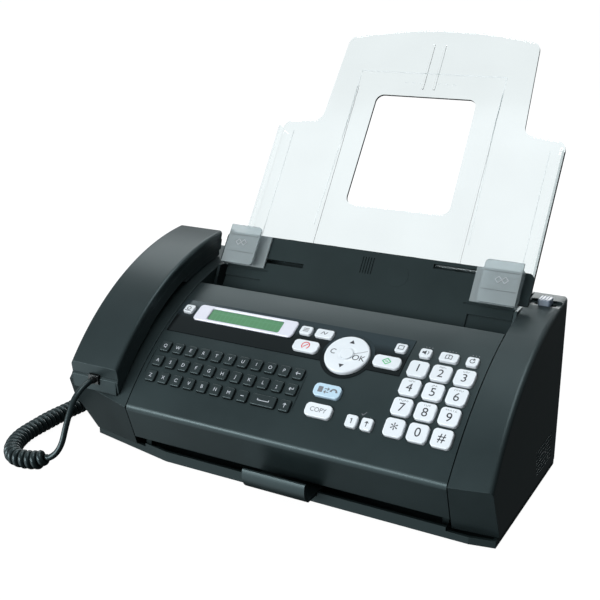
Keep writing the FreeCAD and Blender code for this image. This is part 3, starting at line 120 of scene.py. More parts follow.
# ------------------------------------------------------------------ materials
COOL = (0.72, 0.95, 1.0)            # tint of the dark plastic's reflections
# Painted reflection on the glossy strip: its colour runs from the first tone at the lower edge to the second
# at the upper edge.
PAINTED_REFLECTION_DARK = (0.003, 0.0035, 0.004)
PAINTED_REFLECTION_PALE = (0.022, 0.032, 0.038)


def nodes_of(name):
    """New material: its tree, its shader, and a function that adds a node."""
    material = bpy.data.materials.new(name)
    material.use_nodes = True
    tree = material.node_tree
    shader = tree.nodes["Principled BSDF"]

    def add(kind, **values):
        node = tree.nodes.new(kind)
        for key, value in values.items():
            if key in node.inputs:
                node.inputs[key].default_value = value
            else:
                setattr(node, key, value)
        return node

    return material, tree, shader, add


def ramp(tree, add, source, low, high, start=0.35, end=0.65):
    """Colour ramp from low to high between two values of the source."""
    node = add("ShaderNodeValToRGB")
    node.color_ramp.elements[0].position = start
    node.color_ramp.elements[1].position = end
    node.color_ramp.elements[0].color = (*low, 1)
    node.color_ramp.elements[1].color = (*high, 1)
    tree.links.new(source, node.inputs["Fac"])
    return node.outputs["Color"]


def moulded(name, colour, rough=0.42, grain=0.25, grain_scale=900.0, vary=0.18, coat=0.0,
            edge=0.0004, specular=0.5, sheen_tint=(1, 1, 1)):
    """Moulded plastic or rubber: fine grain, slight variation in tone and sheen, softened edges."""
    material, tree, shader, add = nodes_of(name)
    place = add("ShaderNodeTexCoord")
    broad = add("ShaderNodeTexNoise", Scale=14.0, Detail=4.0, Roughness=0.6)
    fine = add("ShaderNodeTexNoise", Scale=grain_scale, Detail=2.0, Roughness=0.5)
    for node in (broad, fine):
        tree.links.new(place.outputs["Object"], node.inputs["Vector"])
    low = tuple(c * (1 - vary) for c in colour)
    high = tuple(min(1.0, c * (1 + vary)) for c in colour)
    tree.links.new(ramp(tree, add, broad.outputs["Fac"], low, high), shader.inputs["Base Color"])
    sheen = add("ShaderNodeMapRange")
    for key, value in (("From Min", 0.3), ("From Max", 0.7), ("To Min", rough * 0.88),
                       ("To Max", min(1.0, rough * 1.14))):
        sheen.inputs[key].default_value = value
    tree.links.new(broad.outputs["Fac"], sheen.inputs["Value"])
    tree.links.new(sheen.outputs["Result"], shader.inputs["Roughness"])
    bump = add("ShaderNodeBump", Strength=grain, Distance=0.00006)
    tree.links.new(fine.outputs["Fac"], bump.inputs["Height"])
    if edge:
        soft = add("ShaderNodeBevel", samples=4, Radius=edge)
        tree.links.new(soft.outputs["Normal"], bump.inputs["Normal"])
    tree.links.new(bump.outputs["Normal"], shader.inputs["Normal"])
    shader.inputs["Coat Weight"].default_value = coat
    shader.inputs["Coat Roughness"].default_value = 0.06
    shader.inputs["Specular IOR Level"].default_value = specular
    shader.inputs["Specular Tint"].default_value = (*sheen_tint, 1)
    return material


def clear(name, tint, rough=0.04, cloud=0.03, through=1.0):
    """Clear moulded plastic with faint flow waves, darker by cloud in their troughs."""
    material, tree, shader, add = nodes_of(name)
    place = add("ShaderNodeTexCoord")
    waves = add("ShaderNodeTexNoise", Scale=22.0, Detail=2.0, Roughness=0.4)
    tree.links.new(place.outputs["Object"], waves.inputs["Vector"])
    low = tuple(c * (1 - cloud) for c in tint)
    tree.links.new(ramp(tree, add, waves.outputs["Fac"], low, tint), shader.inputs["Base Color"])
    shader.inputs["Roughness"].default_value = rough
    shader.inputs["IOR"].default_value = 1.46
    shader.inputs["Transmission Weight"].default_value = through
    bump = add("ShaderNodeBump", Strength=0.12, Distance=0.0004)
    tree.links.new(waves.outputs["Fac"], bump.inputs["Height"])
    tree.links.new(bump.outputs["Normal"], shader.inputs["Normal"])
    return material


def gloss_strip_painted_reflection(name):
    """Glossy black strip with a painted reflection: black at its lower edge and slate grey at its upper
    edge, standing in for the surroundings mirrored in it.
    """
    material, tree, shader, add = nodes_of(name)
    place = add("ShaderNodeTexCoord")
    split = add("ShaderNodeSeparateXYZ")
    tree.links.new(place.outputs["Generated"], split.inputs["Vector"])
    wave = add("ShaderNodeTexNoise", Scale=3.0, Detail=1.0)
    tree.links.new(place.outputs["Generated"], wave.inputs["Vector"])
    shift = add("ShaderNodeMath", operation="MULTIPLY_ADD")
    tree.links.new(wave.outputs["Fac"], shift.inputs[0])
    shift.inputs[1].default_value = 0.2
    tree.links.new(split.outputs["Y"], shift.inputs[2])
    # Painted reflection: the colour rises from dark to slate up the strip, along a wavy boundary.
    tone = ramp(tree, add, shift.outputs["Value"], PAINTED_REFLECTION_DARK, PAINTED_REFLECTION_PALE, 0.52, 0.80)
    tree.links.new(tone, shader.inputs["Base Color"])
    shader.inputs["Roughness"].default_value = 0.10
    shader.inputs["Specular IOR Level"].default_value = 0.3
    shader.inputs["Specular Tint"].default_value = (*COOL, 1)
    return material


def metal(name, colour, rough):
    """Metal with drawn lines along one way."""
    material, tree, shader, add = nodes_of(name)
    place = add("ShaderNodeTexCoord")
    stretch = add("ShaderNodeMapping")
    stretch.inputs["Scale"].default_value = (4.0, 300.0, 300.0)
    lines = add("ShaderNodeTexNoise", Scale=3.0, Detail=5.0, Roughness=0.7)
    tree.links.new(place.outputs["Object"], stretch.inputs["Vector"])
    tree.links.new(stretch.outputs["Vector"], lines.inputs["Vector"])
    dark = tuple(c * 0.8 for c in colour)
    tree.links.new(ramp(tree, add, lines.outputs["Fac"], dark, colour), shader.inputs["Base Color"])
    shader.inputs["Metallic"].default_value = 1.0
    shader.inputs["Roughness"].default_value = rough
    bump = add("ShaderNodeBump", Strength=0.2, Distance=0.00005)
    tree.links.new(lines.outputs["Fac"], bump.inputs["Height"])
    tree.links.new(bump.outputs["Normal"], shader.inputs["Normal"])
    return material


def lcd_glass(name):
    """Green liquid-crystal panel with a faint grid of character cells under a glossy window."""
    material, tree, shader, add = nodes_of(name)
    place = add("ShaderNodeTexCoord")
    cells = add("ShaderNodeTexBrick", Scale=1.0)
    for key, value in (("Color1", (0.055, 0.20, 0.085, 1)), ("Color2", (0.058, 0.208, 0.09, 1)),
                       ("Mortar", (0.07, 0.235, 0.11, 1)), ("Mortar Size", 0.0003),
                       ("Brick Width", 0.0033), ("Row Height", 0.0058)):
        cells.inputs[key].default_value = value
    cells.offset = 0.0
    tree.links.new(place.outputs["Object"], cells.inputs["Vector"])
    tree.links.new(cells.outputs["Color"], shader.inputs["Base Color"])
    shader.inputs["Roughness"].default_value = 0.3
    shader.inputs["Coat Weight"].default_value = 0.3
    shader.inputs["Coat Roughness"].default_value = 0.03
    return material


def board_green(name):
    """Circuit board with a pattern of tracks."""
    material, tree, shader, add = nodes_of(name)
    place = add("ShaderNodeTexCoord")
    tracks = add("ShaderNodeTexVoronoi", Scale=260.0, distance="MANHATTAN")
    tree.links.new(place.outputs["Object"], tracks.inputs["Vector"])
    colour = ramp(tree, add, tracks.outputs["Distance"], (0.015, 0.10, 0.035), (0.03, 0.20, 0.08))
    tree.links.new(colour, shader.inputs["Base Color"])
    shader.inputs["Roughness"].default_value = 0.35
    return material


M = {
    "housing": moulded("charcoal_housing", (0.011, 0.0165, 0.0175), 0.36, 0.30, sheen_tint=COOL),
    "panel": moulded("charcoal_panel", (0.010, 0.0155, 0.0165), 0.34, 0.22, sheen_tint=COOL),
    "handset": moulded("handset_black", (0.010, 0.015, 0.016), 0.33, 0.28, sheen_tint=COOL),
    "dark": moulded("matte_black", (0.008, 0.013, 0.0135), 0.52, 0.40, specular=0.3, sheen_tint=COOL),
    "trim": gloss_strip_painted_reflection("gloss_black_painted_reflection"),
    "bezel": moulded("lavender_silver", (0.68, 0.69, 0.78), 0.26, 0.08, vary=0.05, coat=0.3),
    "lcd": lcd_glass("display_green"),
    "board": board_green("board_green"),
    "key": moulded("key_white", (0.70, 0.745, 0.79), 0.20, 0.06, vary=0.05, coat=0.4),
    "key_blue": moulded("key_blue", (0.44, 0.60, 0.72), 0.20, 0.06, vary=0.06, coat=0.4),
    "key_dark": moulded("key_charcoal", (0.014, 0.019, 0.020), 0.30, 0.12, sheen_tint=COOL),
    "clear": clear("clear_plastic", (0.84, 0.90, 0.905)),
    "guide": clear("clear_guide", (0.56, 0.63, 0.65), 0.06, 0.05, through=0.66),
    "rubber": moulded("rubber_black", (0.014, 0.014, 0.015), 0.75, 0.6, 500.0, specular=0.3),
    "film": moulded("film_black", (0.01, 0.01, 0.014), 0.16, 0.10, coat=0.3),
    "gear": moulded("nylon_cream", (0.72, 0.69, 0.60), 0.42, 0.15),
    "steel": metal("steel", (0.56, 0.56, 0.58), 0.28),
    "aluminium": metal("aluminium", (0.62, 0.62, 0.64), 0.38),
    "slider": moulded("slider_blue_grey", (0.19, 0.24, 0.31), 0.30, 0.10, coat=0.2),
    "cord": moulded("cord_black", (0.009, 0.0135, 0.0145), 0.30, 0.05, edge=0.0, sheen_tint=COOL),
    "plug": moulded("plug_smoke", (0.012, 0.013, 0.014), 0.18, 0.04, coat=0.3),
    "ink": moulded("ink_dark", (0.018, 0.020, 0.028), 0.45, 0.05, edge=0.0),
    "ink_light": moulded("ink_light", (0.48, 0.51, 0.56), 0.45, 0.05, edge=0.0),
    "ink_grey": moulded("ink_grey", (0.16, 0.17, 0.19), 0.5, 0.05, edge=0.0),
    "red": moulded("ink_red", (0.62, 0.035, 0.05), 0.35, 0.05, edge=0.0),
    "green": moulded("ink_green", (0.06, 0.42, 0.16), 0.35, 0.05, edge=0.0),
    # Painted shade of the slots seen through the clear guides.
    "guide_slot_shade": moulded("guide_slot_shade", (0.10, 0.115, 0.12), 0.3, 0.05, edge=0.0),
    "guide_ink": moulded("guide_mark", (0.42, 0.44, 0.46), 0.3, 0.05, edge=0.0),
    "clear_edge": moulded("tray_line", (0.74, 0.79, 0.80), 0.3, 0.05, edge=0.0),
}

LETTER_NODES = ("letter_keys_top", "letter_keys_middle", "letter_keys_bottom")
NODE_LOOKS = {
    "housing": ("left_wing", "right_wing", "rear_shell", "exit_tray"),
    "panel": ("panel_shell",),
    "handset": ("handset_back", "handset_front"),
    "dark": ("base_shell", "support_plate", "socket_block", "scanner_bar", "hook_plunger"),
    "trim": ("panel_trim",),
    "bezel": ("display_bezel",),
    "lcd": ("lcd",),
    "board": ("main_board", "keypad_board"),
    "key_blue": ("mode_key",),
    "key_dark": LETTER_NODES,
    "clear": ("paper_tray",),
    "guide": ("guide_left", "guide_right"),
    "rubber": ("feet", "platen_roller", "pick_roller"),
    "film": ("film_supply_roll", "film_takeup_roll"),
    "gear": ("platen_gear", "takeup_gear", "guide_pinion"),
    "steel": ("drive_motor", "motor_pinion"),
    "aluminium": ("print_head",),
    "slider": ("mode_slider",),
    "cord": ("cord_lead", "cord_coil", "cord_tail"),
    "plug": ("base_plug", "handset_plug"),
}


def paint_frame():
    """Gives every CAD node its material; whatever isn't listed is a white key."""
    looks = {node: look for look, group in NODE_LOOKS.items() for node in group}
    for name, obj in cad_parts.items():
        obj.data.materials.clear()
        obj.data.materials.append(M[looks.get(name, "key")])


# ------------------------------------------------------------------ building pieces
INK = 0.03                          # thickness of printed signs
INK_GAP = 0.02                      # from the surface to a print's lower side


def new_object(name, data):
    """Object of a mesh, a curve, a light or a camera, put into the scene."""
    obj = bpy.data.objects.new(name, data)
    bpy.context.scene.collection.objects.link(obj)
    return obj


def mesh_object(name, bm):
    """Object of the mesh that bm holds."""
    mesh = bpy.data.meshes.new(name)
    bm.to_mesh(mesh)
    bm.free()
    return new_object(name, mesh)


def wall(bm, low, high):
    """Faces between two closed rows of points."""
    for i in range(len(low)):
        j = (i + 1) % len(low)
        bm.faces.new((low[i], low[j], high[j], high[i]))


def finish_piece(obj, look, body):
    """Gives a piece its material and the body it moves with."""
    obj.data.materials.append(M[look])
    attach(obj, body)


def text_piece(name, words, matrix, size, look, body):
    """Printed legend, centred, lying on the surface."""
    data = bpy.data.curves.new(name, "FONT")
    data.body = words
    data.size = size * MM
    data.align_x = "CENTER"
    data.align_y = "CENTER"
    data.extrude = INK * MM
    obj = new_object(name, data)
    obj.matrix_world = matrix
    finish_piece(obj, look, body)


def sheet_piece(name, outlines, matrix, thick, look, body):
    """Flat shapes given as outlines in millimetres, with a little thickness."""
    bm = bmesh.new()
    for outline in outlines:
        low = [bm.verts.new((x * MM, y * MM, 0)) for x, y in outline]
        high = [bm.verts.new((x * MM, y * MM, thick * MM)) for x, y in outline]
        bm.faces.new(high)
        bm.faces.new(list(reversed(low)))
        wall(bm, low, high)
    bmesh.ops.recalc_face_normals(bm, faces=bm.faces)
    obj = mesh_object(name, bm)
    obj.matrix_world = matrix
    finish_piece(obj, look, body)


def bar(x0, y0, x1, y1, w):
    """Outline of a straight stroke of width w."""
    d = Vector((x1 - x0, y1 - y0)).normalized() * w / 2
    n = Vector((-d.y, d.x))
    return [(x0 + n.x, y0 + n.y), (x0 - n.x, y0 - n.y), (x1 - n.x, y1 - n.y), (x1 + n.x, y1 + n.y)]


def stroke(points, w):
    """Outlines of a line of straight strokes."""
    return [bar(*a, *b, w) for a, b in zip(points, points[1:])]


def arc_points(x, y, r, start, end, count=24):
    """Points along an arc, angles in degrees."""
    out = []
    for i in range(count + 1):
        a = math.radians(start + (end - start) * i / count)
        out.append((x + r * math.cos(a), y + r * math.sin(a)))
    return out


def ring_outline(x, y, r, w, start=0, end=359.9):
    """Outline of a ring or a bent stroke of width w."""
    outer = arc_points(x, y, r + w / 2, start, end)
    inner = arc_points(x, y, r - w / 2, end, start)
    return outer + inner


def rounded(w, d, r, count=5):
    """Outline of a rounded rectangle about the origin."""
    out = []
    for sx, sy, start in ((1, 1, 0), (-1, 1, 90), (-1, -1, 180), (1, -1, 270)):
        out += arc_points(sx * (w / 2 - r), sy * (d / 2 - r), r, start, start + 90, count)
    return out


# ------------------------------------------------------------------ keys' legends
LETTER_X0 = -103.0                  # first letter key of each row
LETTER_PITCH = 10.23
LETTER_SIZE = 3.5
LETTER_ROWS = ((48.0, "QWERTYUIOP"), (36.5, "ASDFGHJKL"), (25.0, "ZXCVBNM"))
NUMBER_KEYS = ("1", "2", "3", "4", "5", "6", "7", "8", "9", "star", "0", "hash")
NUMBER_FIRST = (72.5, 68.6)         # place of key 1
NUMBER_PITCH = (14.9, 14.0)
NUMBER_SIZE = 8.2
STAR_SIZE = 11.0
SMALL_LETTERS = {"2": "ABC", "3": "DEF", "4": "GHI", "5": "JKL", "6": "MNO", "7": "PQRS", "8": "TUV",
                 "9": "WXYZ"}
SMALL_SIZE = 2.5
SMALL_UP = 4.1                      # small letters above the key's middle
DROPS = {"star": 1.6, **dict.fromkeys(SMALL_LETTERS, 0.9)}    # signs below the key's middle


def on_key(x, v, rise=KEY_RISE):
    """Matrix of a print on a key's top."""
    return on_panel(x, v, rise + INK_GAP)


def letter_legends():
    """Letters on the dark keys, with arrows and bars on the control keys."""
    for (v, letters), node in zip(LETTER_ROWS, LETTER_NODES):
        for i, letter in enumerate(letters):
            spot = on_key(LETTER_X0 + LETTER_PITCH * i, v, LETTER_RISE)
            text_piece(f"legend_{letter}", letter, spot, LETTER_SIZE, "ink_light", node)
    w = 0.45
    erase = stroke([(1.6, 0), (-1.6, 0)], w) + stroke([(-0.5, 1.1), (-1.6, 0), (-0.5, -1.1)], w)
    enter = stroke([(1.5, 1.2), (1.5, 0), (-1.5, 0)], w) + stroke([(-0.5, 1), (-1.5, 0), (-0.5, -1)], w)
    shift = stroke([(0, -1.5), (0, 1.4)], w) + stroke([(-1.1, 0.4), (0, 1.5), (1.1, 0.4)], w)
    space = stroke([(-4, 0.8), (-4, -0.4), (4, -0.4), (4, 0.8)], w)
    dot = rounded(0.8, 0.8, 0.39)
    dots = [dot, [(x, y - 1.5) for x, y in dot]]
    dash = [bar(-1.2, 0, 1.2, 0, 0.5)]
    marks = ((0, 10, erase), (1, 9, dots), (1, 10, enter), (2, 7, dash), (2, 8.5, space), (2, 10, shift))
    for i, (row, column, outlines) in enumerate(marks):
        spot = on_key(LETTER_X0 + LETTER_PITCH * column, LETTER_ROWS[row][0], LETTER_RISE)
        sheet_piece(f"mark_letter_{i}", outlines, spot, INK, "ink_light", LETTER_NODES[row])


def number_legends():
    """Digits, star and hash on the number keys, with small letters above the digits 2 to 9."""
    shown = {"star": "*", "hash": "#"}
    for i, name in enumerate(NUMBER_KEYS):
        x = NUMBER_FIRST[0] + NUMBER_PITCH[0] * (i % 3)
        v = NUMBER_FIRST[1] - NUMBER_PITCH[1] * (i // 3)
        size = STAR_SIZE if name == "star" else NUMBER_SIZE
        body = f"key_{name}"
        spot = on_key(x, v - DROPS.get(name, 0))
        text_piece(f"legend_{name}", shown.get(name, name), spot, size, "ink", body)
        if name in SMALL_LETTERS:
            spot = on_key(x, v + SMALL_UP)
            text_piece(f"letters_{name}", SMALL_LETTERS[name], spot, SMALL_SIZE, "ink_grey", body)


def function_legends():
    """Signs on the stop, start, copy and mode keys."""
    stop = [ring_outline(0, 0, 2.6, 0.7, 300, 600), bar(-1.3, -1.3, 1.3, 1.3, 0.7)]
    sheet_piece("sign_stop", stop, on_key(-5.2, 69.3), INK, "red", "stop_key")
    start = stroke([(-2.8, 0), (0, 2.3), (2.8, 0), (0, -2.3), (-2.8, 0)], 0.7)
    start += [bar(-1.0, 0, 1.0, 0, 0.7)]
    sheet_piece("sign_start", start, on_key(51.6, 69.3), INK, "green", "start_key")
    text_piece("legend_copy", "COPY", on_key(22.3, 26.6), 4.2, "ink_grey", "copy_key")
    w = 0.6
    page = [[(x - 4.5, y) for x, y in rounded(3.2, 4.0, 0.4)]]
    there = stroke([(-1.8, 0.9), (1.2, 0.9)], w) + stroke([(0.2, 1.9), (1.3, 0.9), (0.2, -0.1)], w)
    back = stroke([(1.4, -1.3), (-1.6, -1.3)], w) + stroke([(-0.6, -0.3), (-1.7, -1.3), (-0.6, -2.3)], w)
    receiver = [ring_outline(4.6, -0.6, 2.0, 1.0, 20, 160)]
    receiver += [bar(x, -0.6, x, 0.3, 1.4) for x in (2.7, 6.5)]
    mode = page + there + back + receiver
    sheet_piece("sign_mode", mode, on_key(22.9, 40.5), INK, "ink_grey", "mode_key")


def small_signs():
    """Signs on the small keys: sheet, lines, tune, menu, speaker, book, again, one and up."""
    sheet = [ring_outline(0, 0, 1.3, 0.5, 45, 405), bar(-2.4, -2.2, 2.4, -2.2, 0.5)]
    lines = [bar(-2, y, 2, y, 0.45) for y in (-1.2, 0, 1.2)]
    tune = stroke([(-2.2, -1.2), (-0.8, 1.2), (0.8, -1.2), (2.2, 1.2)], 0.5)
    menu = stroke([(-1.7, -1.5), (-1.7, 1.5), (1.7, 1.5), (1.7, -1.5), (-1.7, -1.5)], 0.45)
    book = stroke([(0, -1.4), (0, 1.5), (2.0, 1.1), (2.0, -1.8), (0, -1.4), (-2.0, -1.8), (-2.0, 1.1),
                   (0, 1.5)], 0.42)
    again = [ring_outline(0, 0, 1.5, 0.5, 60, 360)] + stroke([(0.4, 2.2), (1.4, 1.2), (0.2, 0.5)], 0.45)
    speaker = [[(-2.0, -0.7), (-1.0, -0.7), (0.4, -1.8), (0.4, 1.8), (-1.0, 0.7), (-2.0, 0.7)]]
    speaker += [ring_outline(0.4, 0, 1.6, 0.4, -50, 50)]
    one = stroke([(-0.8, 0.8), (0.2, 1.6), (0.2, -1.6)], 0.5)
    up = stroke([(0, -1.7), (0, 1.6)], 0.5) + stroke([(-1.1, 0.5), (0, 1.7), (1.1, 0.5)], 0.5)
    rows = ((82.0, "function_keys", ((-103.0, sheet), (-10.9, lines), (2.5, tune), (56.2, menu))),
            (81.6, "phone_keys", ((72.6, speaker), (87.8, book), (102.7, again))),
            (24.8, "shift_keys", ((45.4, one), (55.4, up))))
    places = [(x, v, outlines, body) for v, body, signs in rows for x, outlines in signs]
    for i, (x, v, outlines, body) in enumerate(places):
        sheet_piece(f"sign_small_{i}", outlines, on_key(x, v), INK, "ink", body)


def dial_surround():
    """Glossy ring round the dial, which joins the two parts of the strip."""
    x, v = DIAL
    inner, outer = RING_RADII
    angles = [math.radians(a) for a in range(0, 360, 5)]
    sections = ((inner, -RING_SINK), (inner, TRIM_RISE), (outer, TRIM_RISE), (outer, -RING_SINK))
    bm = bmesh.new()
    loops = []
    for radius, h in sections:
        spots = [on_panel(x + radius * math.cos(a), v + radius * math.sin(a), h).translation for a in angles]
        loops.append([bm.verts.new(spot) for spot in spots])
    for low, high in zip(loops, loops[1:] + loops[:1]):
        wall(bm, low, high)
    bmesh.ops.recalc_face_normals(bm, faces=bm.faces)
    # The ring takes the strip's painted reflection, dark at its lower edge and slate at its upper edge.
    finish_piece(mesh_object("trim_ring", bm), "trim", "panel")


def dial_legends():
    """Arrows, letters and a thin line on the round key."""
    x, v = DIAL
    up = [(-1.8, 8.6), (1.8, 8.6), (0, 11.4)]
    down = [(-1.8, -8.6), (0, -11.4), (1.8, -8.6)]
    sheet_piece("sign_dial_arrows", [up, down], on_key(x, v), INK, "ink", "nav_dial")
    line = stroke([(4.4, 1.0), (8.5, 2.6), (12.6, 4.8)], 0.35)
    sheet_piece("line_dial", line, on_panel(x, v, KEY_RISE - DISH), DISH + 0.04, "ink_grey", "nav_dial")
    text_piece("legend_C", "C", on_key(x - 9.6, v), 5.6, "ink", "nav_dial")
    text_piece("legend_OK", "OK", on_key(x + 8.8, v - 1.8), 6.0, "ink", "nav_dial")


def panel_prints():
    """Small printed helper signs on the panel beside the keys."""
    dots = [[(x + 2.0 * i, y) for x, y in rounded(0.7, 0.7, 0.34)] for i in range(3)]
    tick = stroke([(-1, 0), (0, -1), (2, 1.4)], 0.35)
    prints = [(f"print_dots_{i}", dots, x, 88.0) for i, x in enumerate((70.6, 85.8, 100.7))]
    prints.append(("print_tick", tick, 50.4, 31.5))
    for name, outlines, x, v in prints:
        sheet_piece(name, outlines, on_panel(x, v, INK_GAP), 0.02, "ink_grey", "panel")


# ------------------------------------------------------------------ marks on the clear plastic
def double_diamond():
    """Two open diamonds side by side, the guides' sign."""
    left = stroke([(-4.4, 0), (-2.2, 2.2), (0, 0)], 0.4) + stroke([(-4.4, 0), (-2.2, -2.2), (0, 0)], 0.4)
    right = [[(-x, -y) for x, y in outline] for outline in left]
    return left + right


def guide_marks():
    """Sign on the front of each guide, and two dark lines across it: painted shade of the slots that show
    through the clear guide.
    """
    for side, body in ((-1, "guide_left"), (1, "guide_right")):
        spot = on_lean(PLATE, side * 97.5, 31.0, GUIDE_FACE)
        sheet_piece(f"sign_guide_{body}", double_diamond(), spot, 0.25, "guide_ink", body)
        # Dark lines painted as the shade of the slots seen through the guide.
        for i, s in enumerate((23.8, 36.3)):
            line = [bar(-11.5, 0, 11.5, 0, 0.3)]
            spot = on_lean(PLATE, side * 96.5, s, GUIDE_FACE)
            sheet_piece(f"line_{body}_{i}", line, spot, 0.1, "guide_slot_shade", body)


def tray_marks():
    """Moulded lines and size marks on the paper tray."""
    w = 0.5
    lines = []
    for side in (-1, 1):
        lines += stroke([(side * 60, 30), (side * 57, 118), (side * 57, 158)], w)
        lines += stroke([(side * 100, 12), (side * 100, 104)], w)
    lines += stroke([(-57, 158), (57, 158)], w)
    ticks = [bar(x, 150, x + 2.4, 150, 0.4) for x in (-20, -14, -8, 6, 12, 18)]
    spot = on_lean(TRAY, 0, 0, TRAY_FACE)
    for name, outlines in (("lines_tray", lines), ("ticks_tray", ticks)):
        sheet_piece(name, outlines, spot, 0.3, "clear_edge", "paper_tray")


def plate_marks():
    """Round mould mark on the dark plate, and the covers behind it that hide the racks."""
    disc = arc_points(0, 0, 8.0, 0, 352.5, 47)
    sheet_piece("mark_plate", [disc], on_lean(PLATE, 24, 26, 0.01), 0.04, "dark", "machine")
    strip = [(-25, -5), (25, -5), (25, 5), (-25, 5)]
    for side, s in RACK_UP.items():
        spot = on_lean(PLATE, side * RACK_COVER_X, s, RACK_COVER_D)
        sheet_piece(f"rack_cover_{side}", [strip], spot, 0.8, "dark", "machine")


# ------------------------------------------------------------------ handset cord
CORD_POINTS = ((-140.5, -0.9, 51.0), (-140.5, -15.0, 49.0), (-139.5, -27.0, 33.0),
               (-138.5, -37.0, 14.0), (-151.0, -42.5, 7.4), (-174.0, -46.0, 6.5),
               (-190.0, -24.0, 6.5), (-192.0, 8.0, 6.5), (-190.0, 45.0, 6.5), (-187.0, 70.0, 6.5),
               (-186.0, 91.0, 6.6), (-178.0, 103.0, 10.0), (-163.6, 106.0, 13.0))
WIRE_D = 4.2
WIRE_SIDES = 10
LEAD_STEP = 1.2                     # between points of the line where it isn't coiled
COIL_R = 4.1                        # from the coil's axis to the wire's middle
COIL_PITCH = 4.5
COIL_STEPS = 22                     # points to a turn
COIL_START = 62.0                   # along the route, from the handset
COIL_LENGTH = 138.0
COIL_EASE = 25                      # at each end the radius grows over a 25th of the coil's length
COIL_SWELL = 0.03                   # slow change of its radius


def route_points():
    """Points of the smooth route, read from a NURBS curve through the listed points."""
    data = bpy.data.curves.new("cord_route", "CURVE")
    data.dimensions = "3D"
    data.resolution_u = 32
    spline = data.splines.new("NURBS")
    spline.points.add(len(CORD_POINTS) - 1)
    for point, place in zip(spline.points, CORD_POINTS):
        point.co = (*at(*place), 1)
    spline.order_u = 3
    spline.use_endpoint_u = True
    obj = new_object("cord_route", data)
    mesh = bpy.data.meshes.new_from_object(obj)
    points = [v.co.copy() for v in mesh.vertices]
    bpy.data.objects.remove(obj)
    return points


def frames_along(points):
    """Points with the distance along them and two directions across, carried without twist."""
    across = Vector((0, 0, 1))
    out = []
    run = 0.0
    for i, point in enumerate(points):
        ahead = points[min(i + 1, len(points) - 1)] - points[max(i - 1, 0)]
        t = ahead.normalized()
        across = (across - t * across.dot(t)).normalized()
        if i:
            run += (point - points[i - 1]).length
        out.append((run, point, across.copy(), t.cross(across)))
    return out


def along(frames, s):
    """Point and cross directions at a distance s along the route."""
    for (s0, p0, a0, b0), (s1, p1, a1, b1) in zip(frames, frames[1:]):
        if s <= s1:
            k = (s - s0) / max(s1 - s0, 1e-9)
            return p0.lerp(p1, k), a0.lerp(a1, k).normalized(), b0.lerp(b1, k).normalized()
    return frames[-1][1:]


def cord_line():
    """Centre line of the wire: straight lead, close coil, straight end."""
    frames = frames_along(route_points())
    total = frames[-1][0]
    start, length, pitch = COIL_START * MM, COIL_LENGTH * MM, COIL_PITCH * MM
    line = []
    s = 0.0
    while s < total:
        p, a, b = along(frames, s)
        share = (s - start) / length
        if 0 < share < 1:
            ease = min(1.0, share * COIL_EASE, (1 - share) * COIL_EASE)
            angle = 2 * math.pi * (s - start) / pitch
            r = COIL_R * MM * ease * (1 + COIL_SWELL * math.sin(7 * share * math.pi))
            p = p + (a * math.cos(angle) + b * math.sin(angle)) * r
            s += pitch / COIL_STEPS
        else:
            s += LEAD_STEP * MM
        line.append(p)
    line.append(frames[-1][1])
    return line


def tube_piece(name, line, radius):
    """Round tube along a line of points."""
    turns = [2 * math.pi * i / WIRE_SIDES for i in range(WIRE_SIDES)]
    bm = bmesh.new()
    rings = []
    for _, p, a, b in frames_along(line):
        rings.append([bm.verts.new(p + (a * math.cos(t) + b * math.sin(t)) * radius) for t in turns])
    for low, high in zip(rings, rings[1:]):
        wall(bm, low, high)
    bm.faces.new(list(reversed(rings[0])))
    bm.faces.new(rings[-1])
    for face in bm.faces:
        face.smooth = True
    return mesh_object(name, bm)


def handset_cord():
    """The handset's cord, one piece from its plug to the jack in the left cover."""
    line = cord_line()
    cord = tube_piece("handset_cord", line, WIRE_D * MM / 2)
    cord.data.materials.append(M["cord"])
    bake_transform(cord)
    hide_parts("cord_lead", "cord_coil", "cord_tail")


# ------------------------------------------------------------------ floor, light and camera
FLOOR_SIZE = 400                    # metres, so that its edge is far from every view
FLOOR_GLOW = 0.97
FLOOR_TONES = ((0.085, 0.085, 0.09), (0.095, 0.095, 0.10))
PALE_SKY = 1.4                      # what the camera sees beyond the floor's edge
SKY_TINT = (0.90, 0.98, 1.0, 1)
# Soft glows of the surroundings: direction, the cosines between which each rises from dim to bright,
# and its brightness at either end.
SKY_GLOWS = (((-0.3, 0.15, 0.9), -0.25, 0.95, 0.045, 0.6),
             ((-0.55, -0.8, -0.2), 0.55, 0.98, 0.0, 1.5))
# Soft boxes: name, place, the point it faces, size in metres, and power in watts.
LAMPS = (("key", (0.3, 0.1, 1.7), (0, 0, 0.08), (0.9, 0.9), 9),
         ("rear_top", (-0.7, 0.85, 1.15), (0, 0, 0.1), (1.2, 0.6), 5),
         ("behind", (0.0, 1.7, 0.6), (0, 0.1, 0.06), (1.2, 0.5), 9),
         ("front", (-0.62, -1.25, 0.34), (0, 0, 0.06), (1.1, 0.45), 14))
CAMERA_PLACE = (285.5, -481.3, 312.3)
CAMERA_AZIMUTH = 28.95
CAMERA_ELEVATION = 18.06
LENS = 60.7
SENSOR_WIDTH = 36.0


